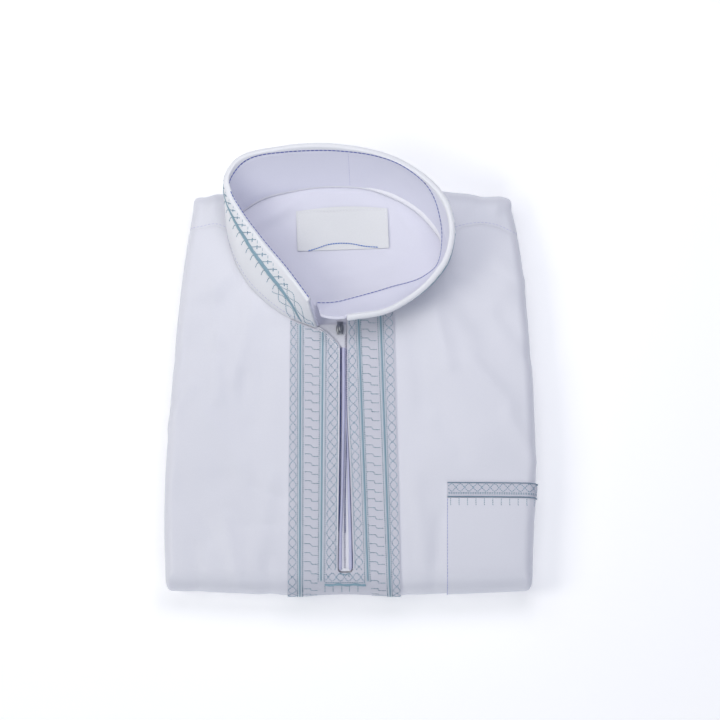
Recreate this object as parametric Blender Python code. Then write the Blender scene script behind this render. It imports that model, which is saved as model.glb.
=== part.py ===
"""A thobe robe, folded to a rectangle and lying on its back with the collar standing.

Run with: blender --background --python part.py
All tables and sizes are in millimetres; meshes are made in metres. X runs across the chest, Y from the bottom fold
up to the collar, Z up from the surface that the bundle rests on. The origin is under the middle of the whole piece.

Cloth has two flat coordinates: across (like X) and along (like Y). Inside the bundle's outline they are X and Y.
Past the line where a roll starts they go on as length measured over the rolled edge.
"""

import math

import bpy
import bmesh
import numpy as np

MM = 0.001
CENTRE = (0.649, -0.645)  # middle of the tables' frame that is moved to the origin

# ---------------------------------------------------------------- driving sizes

CLOTH = 1.4              # wall of one layer of the body's cloth
SEAM_GAP = 0.3           # air between pieces that are sewn together
ROLL_GAP = 0.6           # air between the outer cloth and the layers folded inside it
SIDE_ROLL = 6.5          # radius of the folded sides
FRONT_ROLL = 14.0        # radius of the bottom fold, which takes in the whole bundle
BACK_ROLL = 9.0          # radius of the shoulder fold
CORNER_POWER = 4.0       # squareness of the folded corners
TUCK = math.radians(150) # how far the outer cloth turns under
SIDE_FALL = 3.0          # how much lower the sides are than the middle

BAND_CLOTH = 1.8         # wall of one layer of the collar, with its interlining
CORD_RISE = 0.8          # height of a couched cord
STRIP_CLOTH = 1.0        # placket strips, pocket and bands
LABEL_CLOTH = 0.8
TAPE_CLOTH = 1.0
RISE_LINE = 8.0          # along: rows above it follow the neckline, rows below it are straight

# ---------------------------------------------------------------- tables

# Outline of the folded body: along, left edge, right edge, height of the cloth.
OUTLINE = (
    (122.0, -95.0, 95.5, 23.4),
    (105.0, -99.0, 101.5, 24.0),
    (92.0, -101.3, 104.5, 25.0),
    (74.0, -104.0, 107.5, 26.4),
    (52.0, -106.8, 110.0, 27.8),
    (26.0, -109.5, 112.2, 28.8),
    (0.0, -111.6, 114.5, 29.5),
    (-30.0, -113.9, 115.8, 30.0),
    (-68.0, -116.5, 116.5, 30.0),
    (-100.0, -117.0, 114.6, 29.4),
    (-140.0, -115.6, 113.2, 28.4),
)
ALONG, LEFT, RIGHT, TOP = range(4)

# Bottom fold: across, how far out it reaches.
FRONT_EDGE = ((-113, -138.3), (-83, -139.5), (-38, -141.0), (-3, -139.7), (31, -141.0), (69, -139.7), (112, -137.6))

# Shoulder fold: across, how far back it reaches.
BACK_EDGE = ((-97, 112.5), (-80, 114.7), (-60, 118.5), (-30, 122.0), (0, 122.8), (35, 120.5), (60, 116.5),
             (80, 114.5), (97, 112.5))

# Shoulder seams: across, along.
SHOULDER_SEAM = ((-110, 90.0), (-95, 91.3), (-85, 93.0), (-76, 89.8), (59, 84.5), (65, 90.0), (72, 92.5),
                 (92, 92.5), (102, 88.5), (112, 86.0))

# Soft folds pressed into the body: x and y of both ends, width, height.
PRESSED_FOLDS = (
    (-96.0, 60.0, -88.0, -70.0, 15.0, 0.9),
    (-60.0, 20.0, -84.0, -66.0, 17.0, -0.8),
    (62.0, 76.0, 92.0, 22.0, 16.0, -1.0),
    (50.0, 34.0, 84.0, -36.0, 18.0, 0.9),
    (-86.0, -98.0, -50.0, -84.0, 15.0, -0.8),
    (46.0, -60.0, 100.0, -48.0, 16.0, 0.8),
)

# Layers that show under the front cloth at the sides and back, from the bottom up:
# share of the height, how far each stays in from the edge.
SIDE_LAYERS = ((0.30, 3.2), (0.33, 2.0), (0.37, 2.8))
LAYER_NIP = 1.5          # how far the grooves between the layers go in

# Standing collar, from the front left end round the back to the front right end:
# seam x, seam y, top x, top y, top z, bulge of the middle outwards.
COLLAR = (
    (-20.5, 27.4, -26.1, 40.8, 53.0, 0.6),
    (-41.9, 36.4, -39.4, 59.5, 52.5, 1.2),
    (-60.8, 52.4, -55.8, 79.7, 51.0, 1.6),
    (-73.2, 75.6, -70.2, 99.7, 50.0, 1.7),
    (-75.4, 89.1, -75.9, 109.9, 50.0, 1.5),
    (-72.1, 100.1, -78.1, 119.5, 50.0, 1.4),
    (-62.7, 107.9, -72.8, 129.8, 49.5, 1.0),
    (-35.6, 117.3, -42.5, 139.2, 48.5, 0.8),
    (-3.5, 120.1, -5.4, 139.8, 49.0, 0.6),
    (27.4, 114.5, 29.9, 130.2, 51.0, 0.8),
    (50.1, 98.8, 55.1, 110.5, 54.0, 1.0),
    (58.4, 85.8, 62.1, 96.8, 55.5, 1.0),
    (58.3, 74.2, 63.9, 81.3, 56.5, 1.0),
    (55.1, 65.2, 60.2, 66.5, 56.5, 1.4),
    (47.6, 58.8, 52.6, 55.1, 55.0, 1.8),
    (23.6, 51.1, 26.8, 34.9, 51.0, 1.4),
    (-2.8, 43.4, -2.2, 28.7, 50.0, 0.6),
)
SEAM_X, SEAM_Y, TOP_X, TOP_Y, TOP_Z, BULGE = range(6)
BAND_STATIONS = 46       # sections of the collar loft
COLLAR_TAB = (-21.5, 41.5, -18.5, 30.5, 46.0)   # free end of the inner band's underlap: seam x, y, top x, y, z
TAB_STATIONS = 4         # sections of the underlap
COLLAR_CORD = (          # the band's cord: millimetres round the collar from its open end, share of the height
    (0.0, 0.12),
    (11.0, 0.17),
    (14.5, 0.36),
    (21.5, 0.51),
    (34.5, 0.62),
    (53.0, 0.71),
    (64.0, 0.75),
    (82.0, 0.80),
    (130.0, 0.76),
    (262.0, 0.76),
    (288.0, 0.82),
    (350.0, 0.80),
)
CORD_START = (7.5, 13.5)  # millimetres round the collar over which its cord comes up out of the neck seam
CORD_HALF = 0.045        # half the cord's width, as a share of the band's height

# Zip slit: along, left edge, right edge. Its end is round.
SLIT = (
    (43.0, -6.6, -2.3),
    (15.0, -6.6, -2.3),
    (-20.0, -6.7, -2.2),
    (-60.0, -7.1, -0.4),
    (-120.0, -7.9, 1.6),
)
SLIT_END = -129.4        # along, where the slit's round end closes
SLIT_MIDDLE = -3.1       # across, the front's middle below the slit

# Placket strips, from the zip outwards: across at along = 3 and at along = -118, lift of the surface.
LEFT_STRIP = (
    (-7.3, -8.6, 0.0),
    (-14.9, -15.7, 0.0),
    (-15.7, -16.5, 1.0),
    (-18.7, -19.6, 1.0),
    (-19.5, -20.4, 0.0),
    (-28.7, -29.1, 0.0),
    (-29.5, -29.9, 1.0),
    (-32.7, -32.7, 1.0),
    (-33.5, -33.5, 0.0),
    (-38.2, -39.3, 0.0),
)
RIGHT_STRIP = (
    (-1.6, 2.4, 0.0),
    (4.1, 8.2, 0.0),
    (4.8, 8.9, 1.0),
    (6.8, 11.2, 1.0),
    (7.5, 12.0, 0.0),
    (17.2, 21.6, 0.0),
    (18.0, 22.4, 1.0),
    (21.0, 25.0, 1.0),
    (21.8, 25.7, 0.0),
    (27.8, 31.0, 0.0),
)
STRIP_HIGH, STRIP_LOW = 3.0, -118.0
INNER_CORD_END = -130.5  # along, where the inner cords stop
COLLAR_CLEARANCE = {"left": 3.2, "right": 5.6}   # how far a strip's end stays from the collar's seam line

POCKET_LEFT = 60.6       # across, the pocket's stitched edge
POCKET_TOP = -71.9       # along, the top of its band
POCKET_BAND = 9.8        # height of the band
POCKET_CORDS = ((0.0, 1.0), (1.0, 1.0), (1.7, 0.0), (6.2, 0.0), (6.8, 0.6), (7.6, 0.0), (8.4, 1.0), (9.4, 1.0))
POCKET_TURN = math.radians(120)

BAR = ((-16.2, -8.5, 0.8, 9.6), -136.7, 1.9)   # across stations, along, width

LABEL = (-34.3, 23.2, 77.0, 102.4)              # left, right, bottom, top
LABEL_TILT = 0.035                              # rise of its right end over its length

SLIDER_SIZE = (5.2, 8.4, 2.6)                   # width, length, height
SLIDER_PLACE = (-6.6, 26.5)

# ---------------------------------------------------------------- curves and surfaces


def through(at, table, column=1):
    """Smooth value at a place in a table whose first column rises or falls."""
    rows = sorted(table)
    keys = [row[0] for row in rows]
    values = [row[column] for row in rows]
    if at <= keys[0]:
        return values[0]
    if at >= keys[-1]:
        return values[-1]
    i = int(np.searchsorted(keys, at)) - 1
    i = max(0, i)
    slopes = np.gradient(values, keys)
    span = keys[i + 1] - keys[i]
    t = (at - keys[i]) / span
    return ((2 * t**3 - 3 * t**2 + 1) * values[i] + (t**3 - 2 * t**2 + t) * span * slopes[i]
            + (3 * t**2 - 2 * t**3) * values[i + 1] + (t**3 - t**2) * span * slopes[i + 1])


def smoothstep(low, high, value):
    t = min(max((value - low) / (high - low), 0.0), 1.0)
    return t * t * (3 - 2 * t)


def pressed(x, y):
    """Height that the soft folds add at a place."""
    total = 0.0
    for x0, y0, x1, y1, width, height in PRESSED_FOLDS:
        run_x, run_y = x1 - x0, y1 - y0
        length2 = run_x**2 + run_y**2
        t = ((x - x0) * run_x + (y - y0) * run_y) / length2
        nearest = min(max(t, 0.0), 1.0)
        away2 = (x - x0 - nearest * run_x)**2 + (y - y0 - nearest * run_y)**2
        total += height * math.exp(-away2 / width**2)
    return total


def top_height(x, y):
    """Height of the front cloth's outer face inside the outline."""
    left = through(y, OUTLINE, LEFT)
    right = through(y, OUTLINE, RIGHT)
    off_middle = (2 * x - left - right) / (right - left)
    return through(y, OUTLINE, TOP) - SIDE_FALL * off_middle**4 + pressed(x, y)


def front_roll(x):
    """Radius of the bottom fold, which gets smaller where the bundle is lower at its sides."""
    return FRONT_ROLL - 0.5 * SIDE_FALL * min(abs(x) / 115.0, 1.0)**4


def front_line(x):
    return through(x, FRONT_EDGE) + front_roll(x)


def back_line(x):
    return through(x, BACK_EDGE) - BACK_ROLL


def left_line(y):
    return through(y, OUTLINE, LEFT) + SIDE_ROLL


def right_line(y):
    return through(y, OUTLINE, RIGHT) - SIDE_ROLL


def rolled(base_x, base_y, turn_x, turn_y, lift):
    """Point on the rolled edge that starts at a base point and turns by the two angles."""
    turn = (abs(turn_x)**CORNER_POWER + abs(turn_y)**CORNER_POWER)**(1 / CORNER_POWER)
    top = top_height(base_x, base_y)
    if turn < 1e-9:
        return (base_x, base_y, top + lift)
    way_x, way_y = turn_x / turn, turn_y / turn
    squarer = min(turn / TUCK, 1.0)**2
    turn += (max(abs(turn_x), abs(turn_y)) - turn) * squarer
    roll_y = front_roll(base_x) if turn_y < 0 else BACK_ROLL
    radius = SIDE_ROLL * abs(way_x)**CORNER_POWER + roll_y * abs(way_y)**CORNER_POWER
    x = base_x + way_x * (SIDE_ROLL + lift) * math.sin(turn)
    y = base_y + way_y * (roll_y + lift) * math.sin(turn)
    z = top - radius + (radius + lift) * math.cos(turn)
    return (x, y, z)


def cloth(across, along, lift=0.0):
    """Point of the folded body's cloth, lifted off its outer face."""
    base_y = along
    for _ in range(2):
        base_x = min(max(across, left_line(base_y)), right_line(base_y))
        base_y = min(max(along, front_line(base_x)), back_line(base_x))
    roll_y = front_roll(base_x) if along < base_y else BACK_ROLL
    return rolled(base_x, base_y, (across - base_x) / SIDE_ROLL, (along - base_y) / roll_y, lift)


def cloth_height(x, y):
    """Height of the outer face over a place on the ground, down to the side of the shoulder fold."""
    line = back_line(x)
    if y <= line:
        return top_height(x, y)
    sine = min((y - line) / BACK_ROLL, 0.98)
    return top_height(x, line) - BACK_ROLL * (1 - math.sqrt(1 - sine**2))


def flat_along(x, y):
    """Flat coordinate of a place on the upper side of the shoulder fold."""
    line = back_line(x)
    if y <= line:
        return y
    return line + BACK_ROLL * math.asin(min((y - line) / BACK_ROLL, 0.98))


def neck_bowl(x, y):
    """How far the back sinks under the neck."""
    off2 = ((x + 8.0) / 70.0)**2 + ((y - 74.0) / 46.0)**2
    return 3.4 * max(0.0, 1 - off2)**2


# ---------------------------------------------------------------- collar line


def spline_rows(table, count):
    """Rows read from a smooth curve through a table's rows, evenly by chord length of its first two columns."""
    rows = np.array(table, float)
    steps = np.linalg.norm(np.diff(rows[:, :2], axis=0), axis=1)
    at = np.concatenate(([0.0], np.cumsum(steps)))
    slopes = np.gradient(rows, at, axis=0)
    result = []
    for place in np.linspace(0.0, at[-1], count):
        i = min(int(np.searchsorted(at, place, side="right")) - 1, len(at) - 2)
        span = at[i + 1] - at[i]
        t = (place - at[i]) / span
        result.append((2 * t**3 - 3 * t**2 + 1) * rows[i] + (t**3 - 2 * t**2 + t) * span * slopes[i]
                      + (3 * t**2 - 2 * t**3) * rows[i + 1] + (t**3 - t**2) * span * slopes[i + 1])
    return np.array(result)


NECK_LINE = spline_rows(COLLAR, 300)[:, :2]
NECK_LEFT = int(np.argmin(NECK_LINE[:, 0]))
NECK_RIGHT = int(np.argmax(NECK_LINE[:, 0]))


def neck_y(x, part):
    """Where the collar's seam line passes over x, on its left front, back or right front part."""
    if part == "left":
        line = NECK_LINE[:NECK_LEFT + 1][::-1]
    elif part == "back":
        line = NECK_LINE[NECK_LEFT:NECK_RIGHT + 1]
    else:
        line = NECK_LINE[NECK_RIGHT:][::-1]
    return float(np.interp(x, line[:, 0], line[:, 1]))


# ---------------------------------------------------------------- mesh making


def new_object(name, bm, material):
    bmesh.ops.remove_doubles(bm, verts=bm.verts, dist=1e-6)
    bmesh.ops.recalc_face_normals(bm, faces=bm.faces)
    bmesh.ops.translate(bm, verts=bm.verts, vec=(-CENTRE[0] * MM, -CENTRE[1] * MM, 0.0))
    mesh = bpy.data.meshes.new(name)
    bm.to_mesh(mesh)
    bm.free()
    if material is not None:
        mesh.materials.append(material)
    obj = bpy.data.objects.new(name, mesh)
    PARTS.objects.link(obj)
    return obj


def add_grid(bm, rows):
    """Vertices for a grid of points in millimetres."""
    return [[bm.verts.new((p[0] * MM, p[1] * MM, p[2] * MM)) for p in row] for row in rows]


def quad(bm, *corners):
    distinct = list(dict.fromkeys(corners))
    if len(distinct) > 2:
        bm.faces.new(distinct)


def wall(bm, outer_rows, inner_rows):
    """Closed wall between two grids of the same size, joined round their rim."""
    outer = add_grid(bm, outer_rows)
    inner = add_grid(bm, inner_rows)
    last_row, last_col = len(outer) - 1, len(outer[0]) - 1
    for j in range(last_row):
        for i in range(last_col):
            quad(bm, outer[j][i], outer[j][i + 1], outer[j + 1][i + 1], outer[j + 1][i])
            quad(bm, inner[j][i], inner[j + 1][i], inner[j + 1][i + 1], inner[j][i + 1])
    for j in range(last_row):
        for i in (0, last_col):
            quad(bm, outer[j][i], outer[j + 1][i], inner[j + 1][i], inner[j][i])
    for i in range(last_col):
        for j in (0, last_row):
            quad(bm, outer[j][i], outer[j][i + 1], inner[j][i + 1], inner[j][i])


def cloth_wall(name, flat_rows, lift, thickness, material, rise=None):
    """Cloth over the body: rows of flat coordinates, the height of its underside, and its wall."""
    bm = bmesh.new()
    under = [[cloth(across, along, lift) for across, along in row] for row in flat_rows]
    over = [[cloth(across, along, lift + thickness + (rise[i] if rise else 0.0))
             for i, (across, along) in enumerate(row)] for row in flat_rows]
    wall(bm, over, under)
    return new_object(name, bm, material)


def material(name, colour, roughness, metallic=0.0):
    made = bpy.data.materials.new(name)
    made.use_nodes = True
    shader = made.node_tree.nodes["Principled BSDF"]
    shader.inputs["Base Color"].default_value = (*colour, 1.0)
    shader.inputs["Roughness"].default_value = roughness
    shader.inputs["Metallic"].default_value = metallic
    return made


# ---------------------------------------------------------------- stations shared by the layers

TURN_STEPS = [TUCK * k / 5 for k in range(1, 6)]                                            # side rolls
FOLD_STEPS = [math.radians(turn) for turn in (7.5, 15.0, 38.0, 65.0, 94.0, 122.0, 150.0)]   # bottom fold
STRAIGHT_ROWS = [RISE_LINE - 133.0 * k / 12 for k in range(13)]
RISING = 7                                                  # rows between the neckline and the first straight row


def straight_along(x, index):
    """Along of a row below the neckline; the last straight row lies on the line where the bottom fold starts."""
    if index < len(STRAIGHT_ROWS):
        share = index / (len(STRAIGHT_ROWS) - 1)
        return RISE_LINE + (front_line(x) - RISE_LINE) * share
    return front_line(x) - front_roll(x) * FOLD_STEPS[index - len(STRAIGHT_ROWS)]


ROW_COUNT = len(STRAIGHT_ROWS) + len(FOLD_STEPS)


def side_shift(x, y):
    """Moves a column near the sides so that the columns follow the slanting outline."""
    inner, nominal = 78.0, 109.0
    if x < -inner:
        return -inner + (x + inner) * (left_line(y) + inner) / (inner - nominal)
    if x > inner:
        return inner + (x - inner) * (right_line(y) - inner) / (nominal - inner)
    return x


def slit_edge(along, side):
    """Left or right edge of the slit; below its round end both lie on the middle."""
    column = 1 if side == "left" else 2
    edge = through(along, SLIT, column)
    half = abs(edge - SLIT_MIDDLE)
    over = along - SLIT_END
    if over <= 0:
        return SLIT_MIDDLE
    if over < half:
        edge = SLIT_MIDDLE + math.copysign(math.sqrt(half**2 - (half - over)**2), edge - SLIT_MIDDLE)
    return edge


# ---------------------------------------------------------------- body


def front_top(x):
    """Upper boundary of the front: shoulder seams, neckline and the pulled-back corner beside the zip."""
    if x <= LEFT_CORNER or x >= RIGHT_CORNER:
        return through(x, SHOULDER_SEAM) - SEAM_GAP / 2
    left_end, right_end = NECK_LINE[0], NECK_LINE[-1]
    if x < left_end[0]:
        return neck_y(x, "left")
    if x < right_end[0]:
        corner_x, corner_y = -6.6, 15.0
        t = min((x - left_end[0]) / (corner_x - left_end[0]), 1.0)
        return left_end[1] + (corner_y - left_end[1]) * t**1.4
    return neck_y(x, "right")


def front_half_rows(columns, side):
    """Flat rows of one half of the front, from the shoulder down round the bottom fold."""
    rows = []
    for j in range(RISING + ROW_COUNT):
        row = []
        for kind, value in columns:
            if kind == "turn":
                sign = -1 if side == "left" else 1
                anchor = sign * 109.0
            else:
                anchor = value
            high = front_top(anchor)
            if j < RISING:
                along = high + (RISE_LINE - high) * j / RISING
            else:
                along = straight_along(SLIT_MIDDLE if kind == "slit" else anchor, j - RISING)
            if kind == "turn":
                base = side_shift(anchor, along)
                across = base + sign * SIDE_ROLL * value
            elif kind == "slit":
                across = slit_edge(along, side)
            elif kind == "near":
                edge = slit_edge(along, side)
                across = edge + (value - (-6.6 if side == "left" else -2.3)) * 0.9
            else:
                across = side_shift(value, along)
            row.append((across, along))
        rows.append(row)
    return rows


LEFT_CORNER = float(NECK_LINE[NECK_LEFT][0])
RIGHT_CORNER = float(NECK_LINE[NECK_RIGHT][0])
LEFT_COLUMNS = ([("turn", turn) for turn in reversed(TURN_STEPS)]
                + [("flat", x) for x in (-109.0, -97.0, -86.0, LEFT_CORNER - 0.6, LEFT_CORNER + 0.15,
                                         LEFT_CORNER + 2.0, -69.0, -62.0, -53.0, -42.0, -31.0, -20.5)]
                + [("near", -13.0), ("slit", -6.6)])
RIGHT_COLUMNS = ([("slit", -2.3)]
                 + [("flat", x) for x in (9.0, 21.0, 33.0, 44.0, 52.0, 56.5, RIGHT_CORNER - 0.15,
                                          RIGHT_CORNER + 0.6, 64.0, 71.0, 79.0, 88.0, 98.0, 109.0)]
                 + [("turn", turn) for turn in TURN_STEPS])


def make_front(look):
    """Front panel in one piece: two halves that meet below the zip slit."""
    bm = bmesh.new()
    for columns, side in ((LEFT_COLUMNS, "left"), (RIGHT_COLUMNS, "right")):
        rows = front_half_rows(columns, side)
        over = [[cloth(a, b) for a, b in row] for row in rows]
        under = [[cloth(a, b, -CLOTH) for a, b in row] for row in rows]
        wall(bm, over, under)
    bmesh.ops.remove_doubles(bm, verts=bm.verts, dist=1e-6)
    inside = [face for face in bm.faces
              if all(abs(vert.co.x - SLIT_MIDDLE * MM) < 1e-7 for vert in face.verts)]
    bmesh.ops.delete(bm, geom=inside, context="FACES")
    return new_object("front", bm, look)


def make_yoke(look):
    """Yoke: from the shoulder seams and the back neckline, over the shoulder fold and down behind."""
    flats = [-106.0, -96.0, -86.0, LEFT_CORNER - 0.6, LEFT_CORNER + 0.15, LEFT_CORNER + 2.0, -70.0, -63.0, -54.0,
             -42.0, -28.0, -12.0, 4.0, 18.0, 30.0, 41.0, 49.0, 54.0, 57.0, RIGHT_CORNER - 0.15, RIGHT_CORNER + 0.6,
             64.0, 71.0, 79.0, 88.0, 97.0, 106.0]
    columns = ([("turn", -turn) for turn in reversed(TURN_STEPS)] + [("flat", x) for x in flats]
               + [("turn", turn) for turn in TURN_STEPS])
    rows = []
    steps = 10
    for j in range(steps + 1):
        row = []
        for kind, value in columns:
            anchor = value if kind == "flat" else math.copysign(106.0, value)
            if LEFT_CORNER < anchor < RIGHT_CORNER:
                start = flat_along(anchor, neck_y(anchor, "back"))
            else:
                start = through(anchor, SHOULDER_SEAM) + SEAM_GAP / 2
            end = back_line(anchor) + BACK_ROLL * TUCK
            along = start + (end - start) * j / steps
            y = min(along, back_line(anchor))
            edge = left_line(y) if anchor < 0 else right_line(y)
            if abs(anchor) > 78.0:
                base = math.copysign(78.0 + (abs(anchor) - 78.0) * (abs(edge) - 78.0) / 28.0, anchor)
            else:
                base = anchor
            across = base if kind == "flat" else base + SIDE_ROLL * value
            row.append((across, along))
        rows.append(row)
    return cloth_wall("back_yoke", rows, -CLOTH, CLOTH, look)


def back_top(x, y):
    """Upper face of the back, which lies under the front and sinks a little under the neck."""
    return -(CLOTH + SEAM_GAP) - neck_bowl(x, y)


def make_back(look):
    """Back panel seen through the neck, from under the yoke's neckline to just below the front corners."""
    bm = bmesh.new()
    over, under = [], []
    columns, flat_rows, curved_rows = 15, 11, 3
    low = 11.0
    for j in range(flat_rows + curved_rows + 1):
        over_row, under_row = [], []
        for i in range(columns + 1):
            share = i / columns
            x = -86.0 + (70.0 + 86.0) * share
            if LEFT_CORNER < x < RIGHT_CORNER:
                high = flat_along(x, neck_y(x, "back")) + 1.2
            else:
                high = back_line(x) - 6.0
            split = min(back_line(x), high - 3.0)
            if j <= flat_rows:
                along = low + (split - low) * j / flat_rows
            else:
                along = split + (high - split) * (j - flat_rows) / curved_rows
            drop = back_top(x, along)
            over_row.append(cloth(x, along, drop))
            under_row.append(cloth(x, along, drop - CLOTH))
        over.append(over_row)
        under.append(under_row)
    wall(bm, over, under)
    return new_object("back", bm, look)


# ---------------------------------------------------------------- hidden layers


def core_lift(y):
    """The bundle's top lies under the front, and further down where the back lies between them."""
    return -(CLOTH + ROLL_GAP) - (CLOTH + SEAM_GAP) * smoothstep(-6.0, 8.0, y)


def core_boundary(columns, rows):
    """Base points and directions round the bundle, with a fan of directions at each corner."""
    def base(u, v):
        x, y = 0.0, 0.0
        for _ in range(4):
            low, high = front_line(x), back_line(x)
            y = low + (high - low) * v
            x = left_line(y) + (right_line(y) - left_line(y)) * u
        return x, y

    def fan(u, v, sign_x, sign_y, start_x):
        angles = [math.pi / 2 * k / 4 for k in range(5)]
        if not start_x:
            angles = angles[::-1]
        entries = []
        for angle in angles:
            way_x = sign_x * math.cos(angle)**(2 / CORNER_POWER)
            way_y = sign_y * math.sin(angle)**(2 / CORNER_POWER)
            entries.append((base(u, v), way_x, way_y))
        return entries

    loop = []
    loop += fan(0, 0, -1, -1, True)
    loop += [(base(i / columns, 0), 0.0, -1.0) for i in range(1, columns)]
    loop += fan(1, 0, 1, -1, False)
    loop += [(base(1, j / rows), 1.0, 0.0) for j in range(1, rows)]
    loop += fan(1, 1, 1, 1, True)
    loop += [(base(1 - i / columns, 1), 0.0, 1.0) for i in range(1, columns)]
    loop += fan(0, 1, -1, 1, False)
    loop += [(base(0, 1 - j / rows), -1.0, 0.0) for j in range(1, rows)]
    return loop, base


def core_section(place, way_x, way_y):
    """Points down the bundle's side at one base point: under the rolled cloth, then layer by layer to the floor."""
    base_x, base_y = place
    top = top_height(base_x, base_y)
    roll_y = front_roll(base_x) if way_y < 0 else BACK_ROLL
    share_y = abs(way_y)**CORNER_POWER
    radius = SIDE_ROLL * (1 - share_y) + roll_y * share_y
    points = []
    for turn in (0.0, 28.0, 56.0, 88.0, 125.0):
        angle = math.radians(turn)
        blend = smoothstep(56.0, 88.0, turn)
        sunk = core_lift(base_y) - neck_bowl(base_x, base_y) * (1 - min(turn / 56.0, 1.0))
        lift = sunk * (1 - blend) - (CLOTH + ROLL_GAP) * blend
        points.append((base_x + way_x * (SIDE_ROLL + lift) * math.sin(angle),
                       base_y + way_y * (roll_y + lift) * math.sin(angle),
                       top - radius + (radius + lift) * math.cos(angle)))
    shoulder = max(1.6, top - 2 * radius + 0.1)
    tuck_in = 0.62 * radius + 3.2
    front_share = min(1.6 * abs(way_y), 1.0) if way_y < 0 else 0.0

    def at(inset, height):
        return (base_x + way_x * (SIDE_ROLL - inset), base_y + way_y * (roll_y - inset), height)

    points.append(at(tuck_in, shoulder))
    height = shoulder
    for share, inset in reversed(SIDE_LAYERS):
        inset = inset + (tuck_in - 0.6 - inset) * front_share
        layer = share * shoulder
        points.append(at(inset + 0.25, height - 0.22 * layer))
        points.append(at(inset + 0.25, height - 0.78 * layer))
        height -= layer
        if height > 0.01:
            points.append(at(inset + LAYER_NIP, height))
    points.append(at(tuck_in * front_share + (SIDE_LAYERS[0][1] + 1.6) * (1 - front_share), 0.0))
    return points


def make_layers(look):
    """Hidden sleeves, back and skirt, folded under the front, as one rounded bundle with a flat underside."""
    columns, rows = 18, 20
    bm = bmesh.new()
    loop, base = core_boundary(columns, rows)
    sections = [core_section(place, way_x, way_y) for place, way_x, way_y in loop]
    rings = [[bm.verts.new([c * MM for c in section[k]]) for section in sections] for k in range(len(sections[0]))]
    count = len(loop)
    for upper, lower in zip(rings, rings[1:]):
        for i in range(count):
            k = (i + 1) % count
            quad(bm, upper[i], upper[k], lower[k], lower[i])
    bm.faces.new(rings[-1])
    grid = []
    for j in range(rows + 1):
        row = []
        for i in range(columns + 1):
            x, y = base(i / columns, j / rows)
            row.append((x, y, top_height(x, y) + core_lift(y) - neck_bowl(x, y)))
        grid.append(row)
    top = add_grid(bm, grid)
    for j in range(rows):
        for i in range(columns):
            quad(bm, top[j][i], top[j][i + 1], top[j + 1][i + 1], top[j + 1][i])
    return new_object("folded_layers", bm, look)


# ---------------------------------------------------------------- collar


def collar_frames():
    """Seam point, top point, outward normal and bulge for each section of the collar."""
    rows = spline_rows(COLLAR, BAND_STATIONS)
    seam = np.array([(x, y, cloth_height(x, y) + SEAM_GAP) for x, y in rows[:, :2]])
    top = rows[:, [TOP_X, TOP_Y, TOP_Z]]
    along = np.gradient((seam + top) / 2, axis=0)
    normal = np.cross(along, top - seam)
    normal /= np.linalg.norm(normal, axis=1)[:, None]
    centre = np.array([-8.0, 80.0, 35.0])
    if np.mean(np.sum(normal * (seam - centre), axis=1)) < 0:
        normal = -normal
    return seam, top, normal, rows[:, BULGE]


def band_point(frame, share, off, extra=0.0):
    """Point of a collar section: share of the height, and how far outside the middle surface."""
    seam, top, normal, bulge = frame
    swell = bulge * 4 * share * (1 - share) if share < 1 else 0.0
    point = seam + (top - seam) * share + normal * (off + swell + extra)
    if share == 0.0:
        point[2] = cloth_height(point[0], point[1]) + SEAM_GAP
    return point


def tab_frames(frames):
    """Frames of the underlap, which runs on from the inner band's front end, behind the zip."""
    seam_x, seam_y, top_x, top_y, top_z = COLLAR_TAB
    (seam_before, top_before, _, _), (seam, top, normal, bulge) = frames[-2:]
    seam_end = np.array([seam_x, seam_y, cloth_height(seam_x, seam_y) + SEAM_GAP])
    top_end = np.array([top_x, top_y, top_z])
    made = []
    for k in range(1, TAB_STATIONS + 1):
        t = k / TAB_STATIONS
        spots = []
        for start, before, end in ((seam, seam_before, seam_end), (top, top_before, top_end)):
            way = (start - before) / np.linalg.norm(start - before)
            bend = start + way * np.linalg.norm(end - start) / 2
            spots.append(start * (1 - t)**2 + bend * 2 * t * (1 - t) + end * t**2)
        made.append((spots[0], spots[1], normal, bulge * (1 - t)))
    return made


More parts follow.
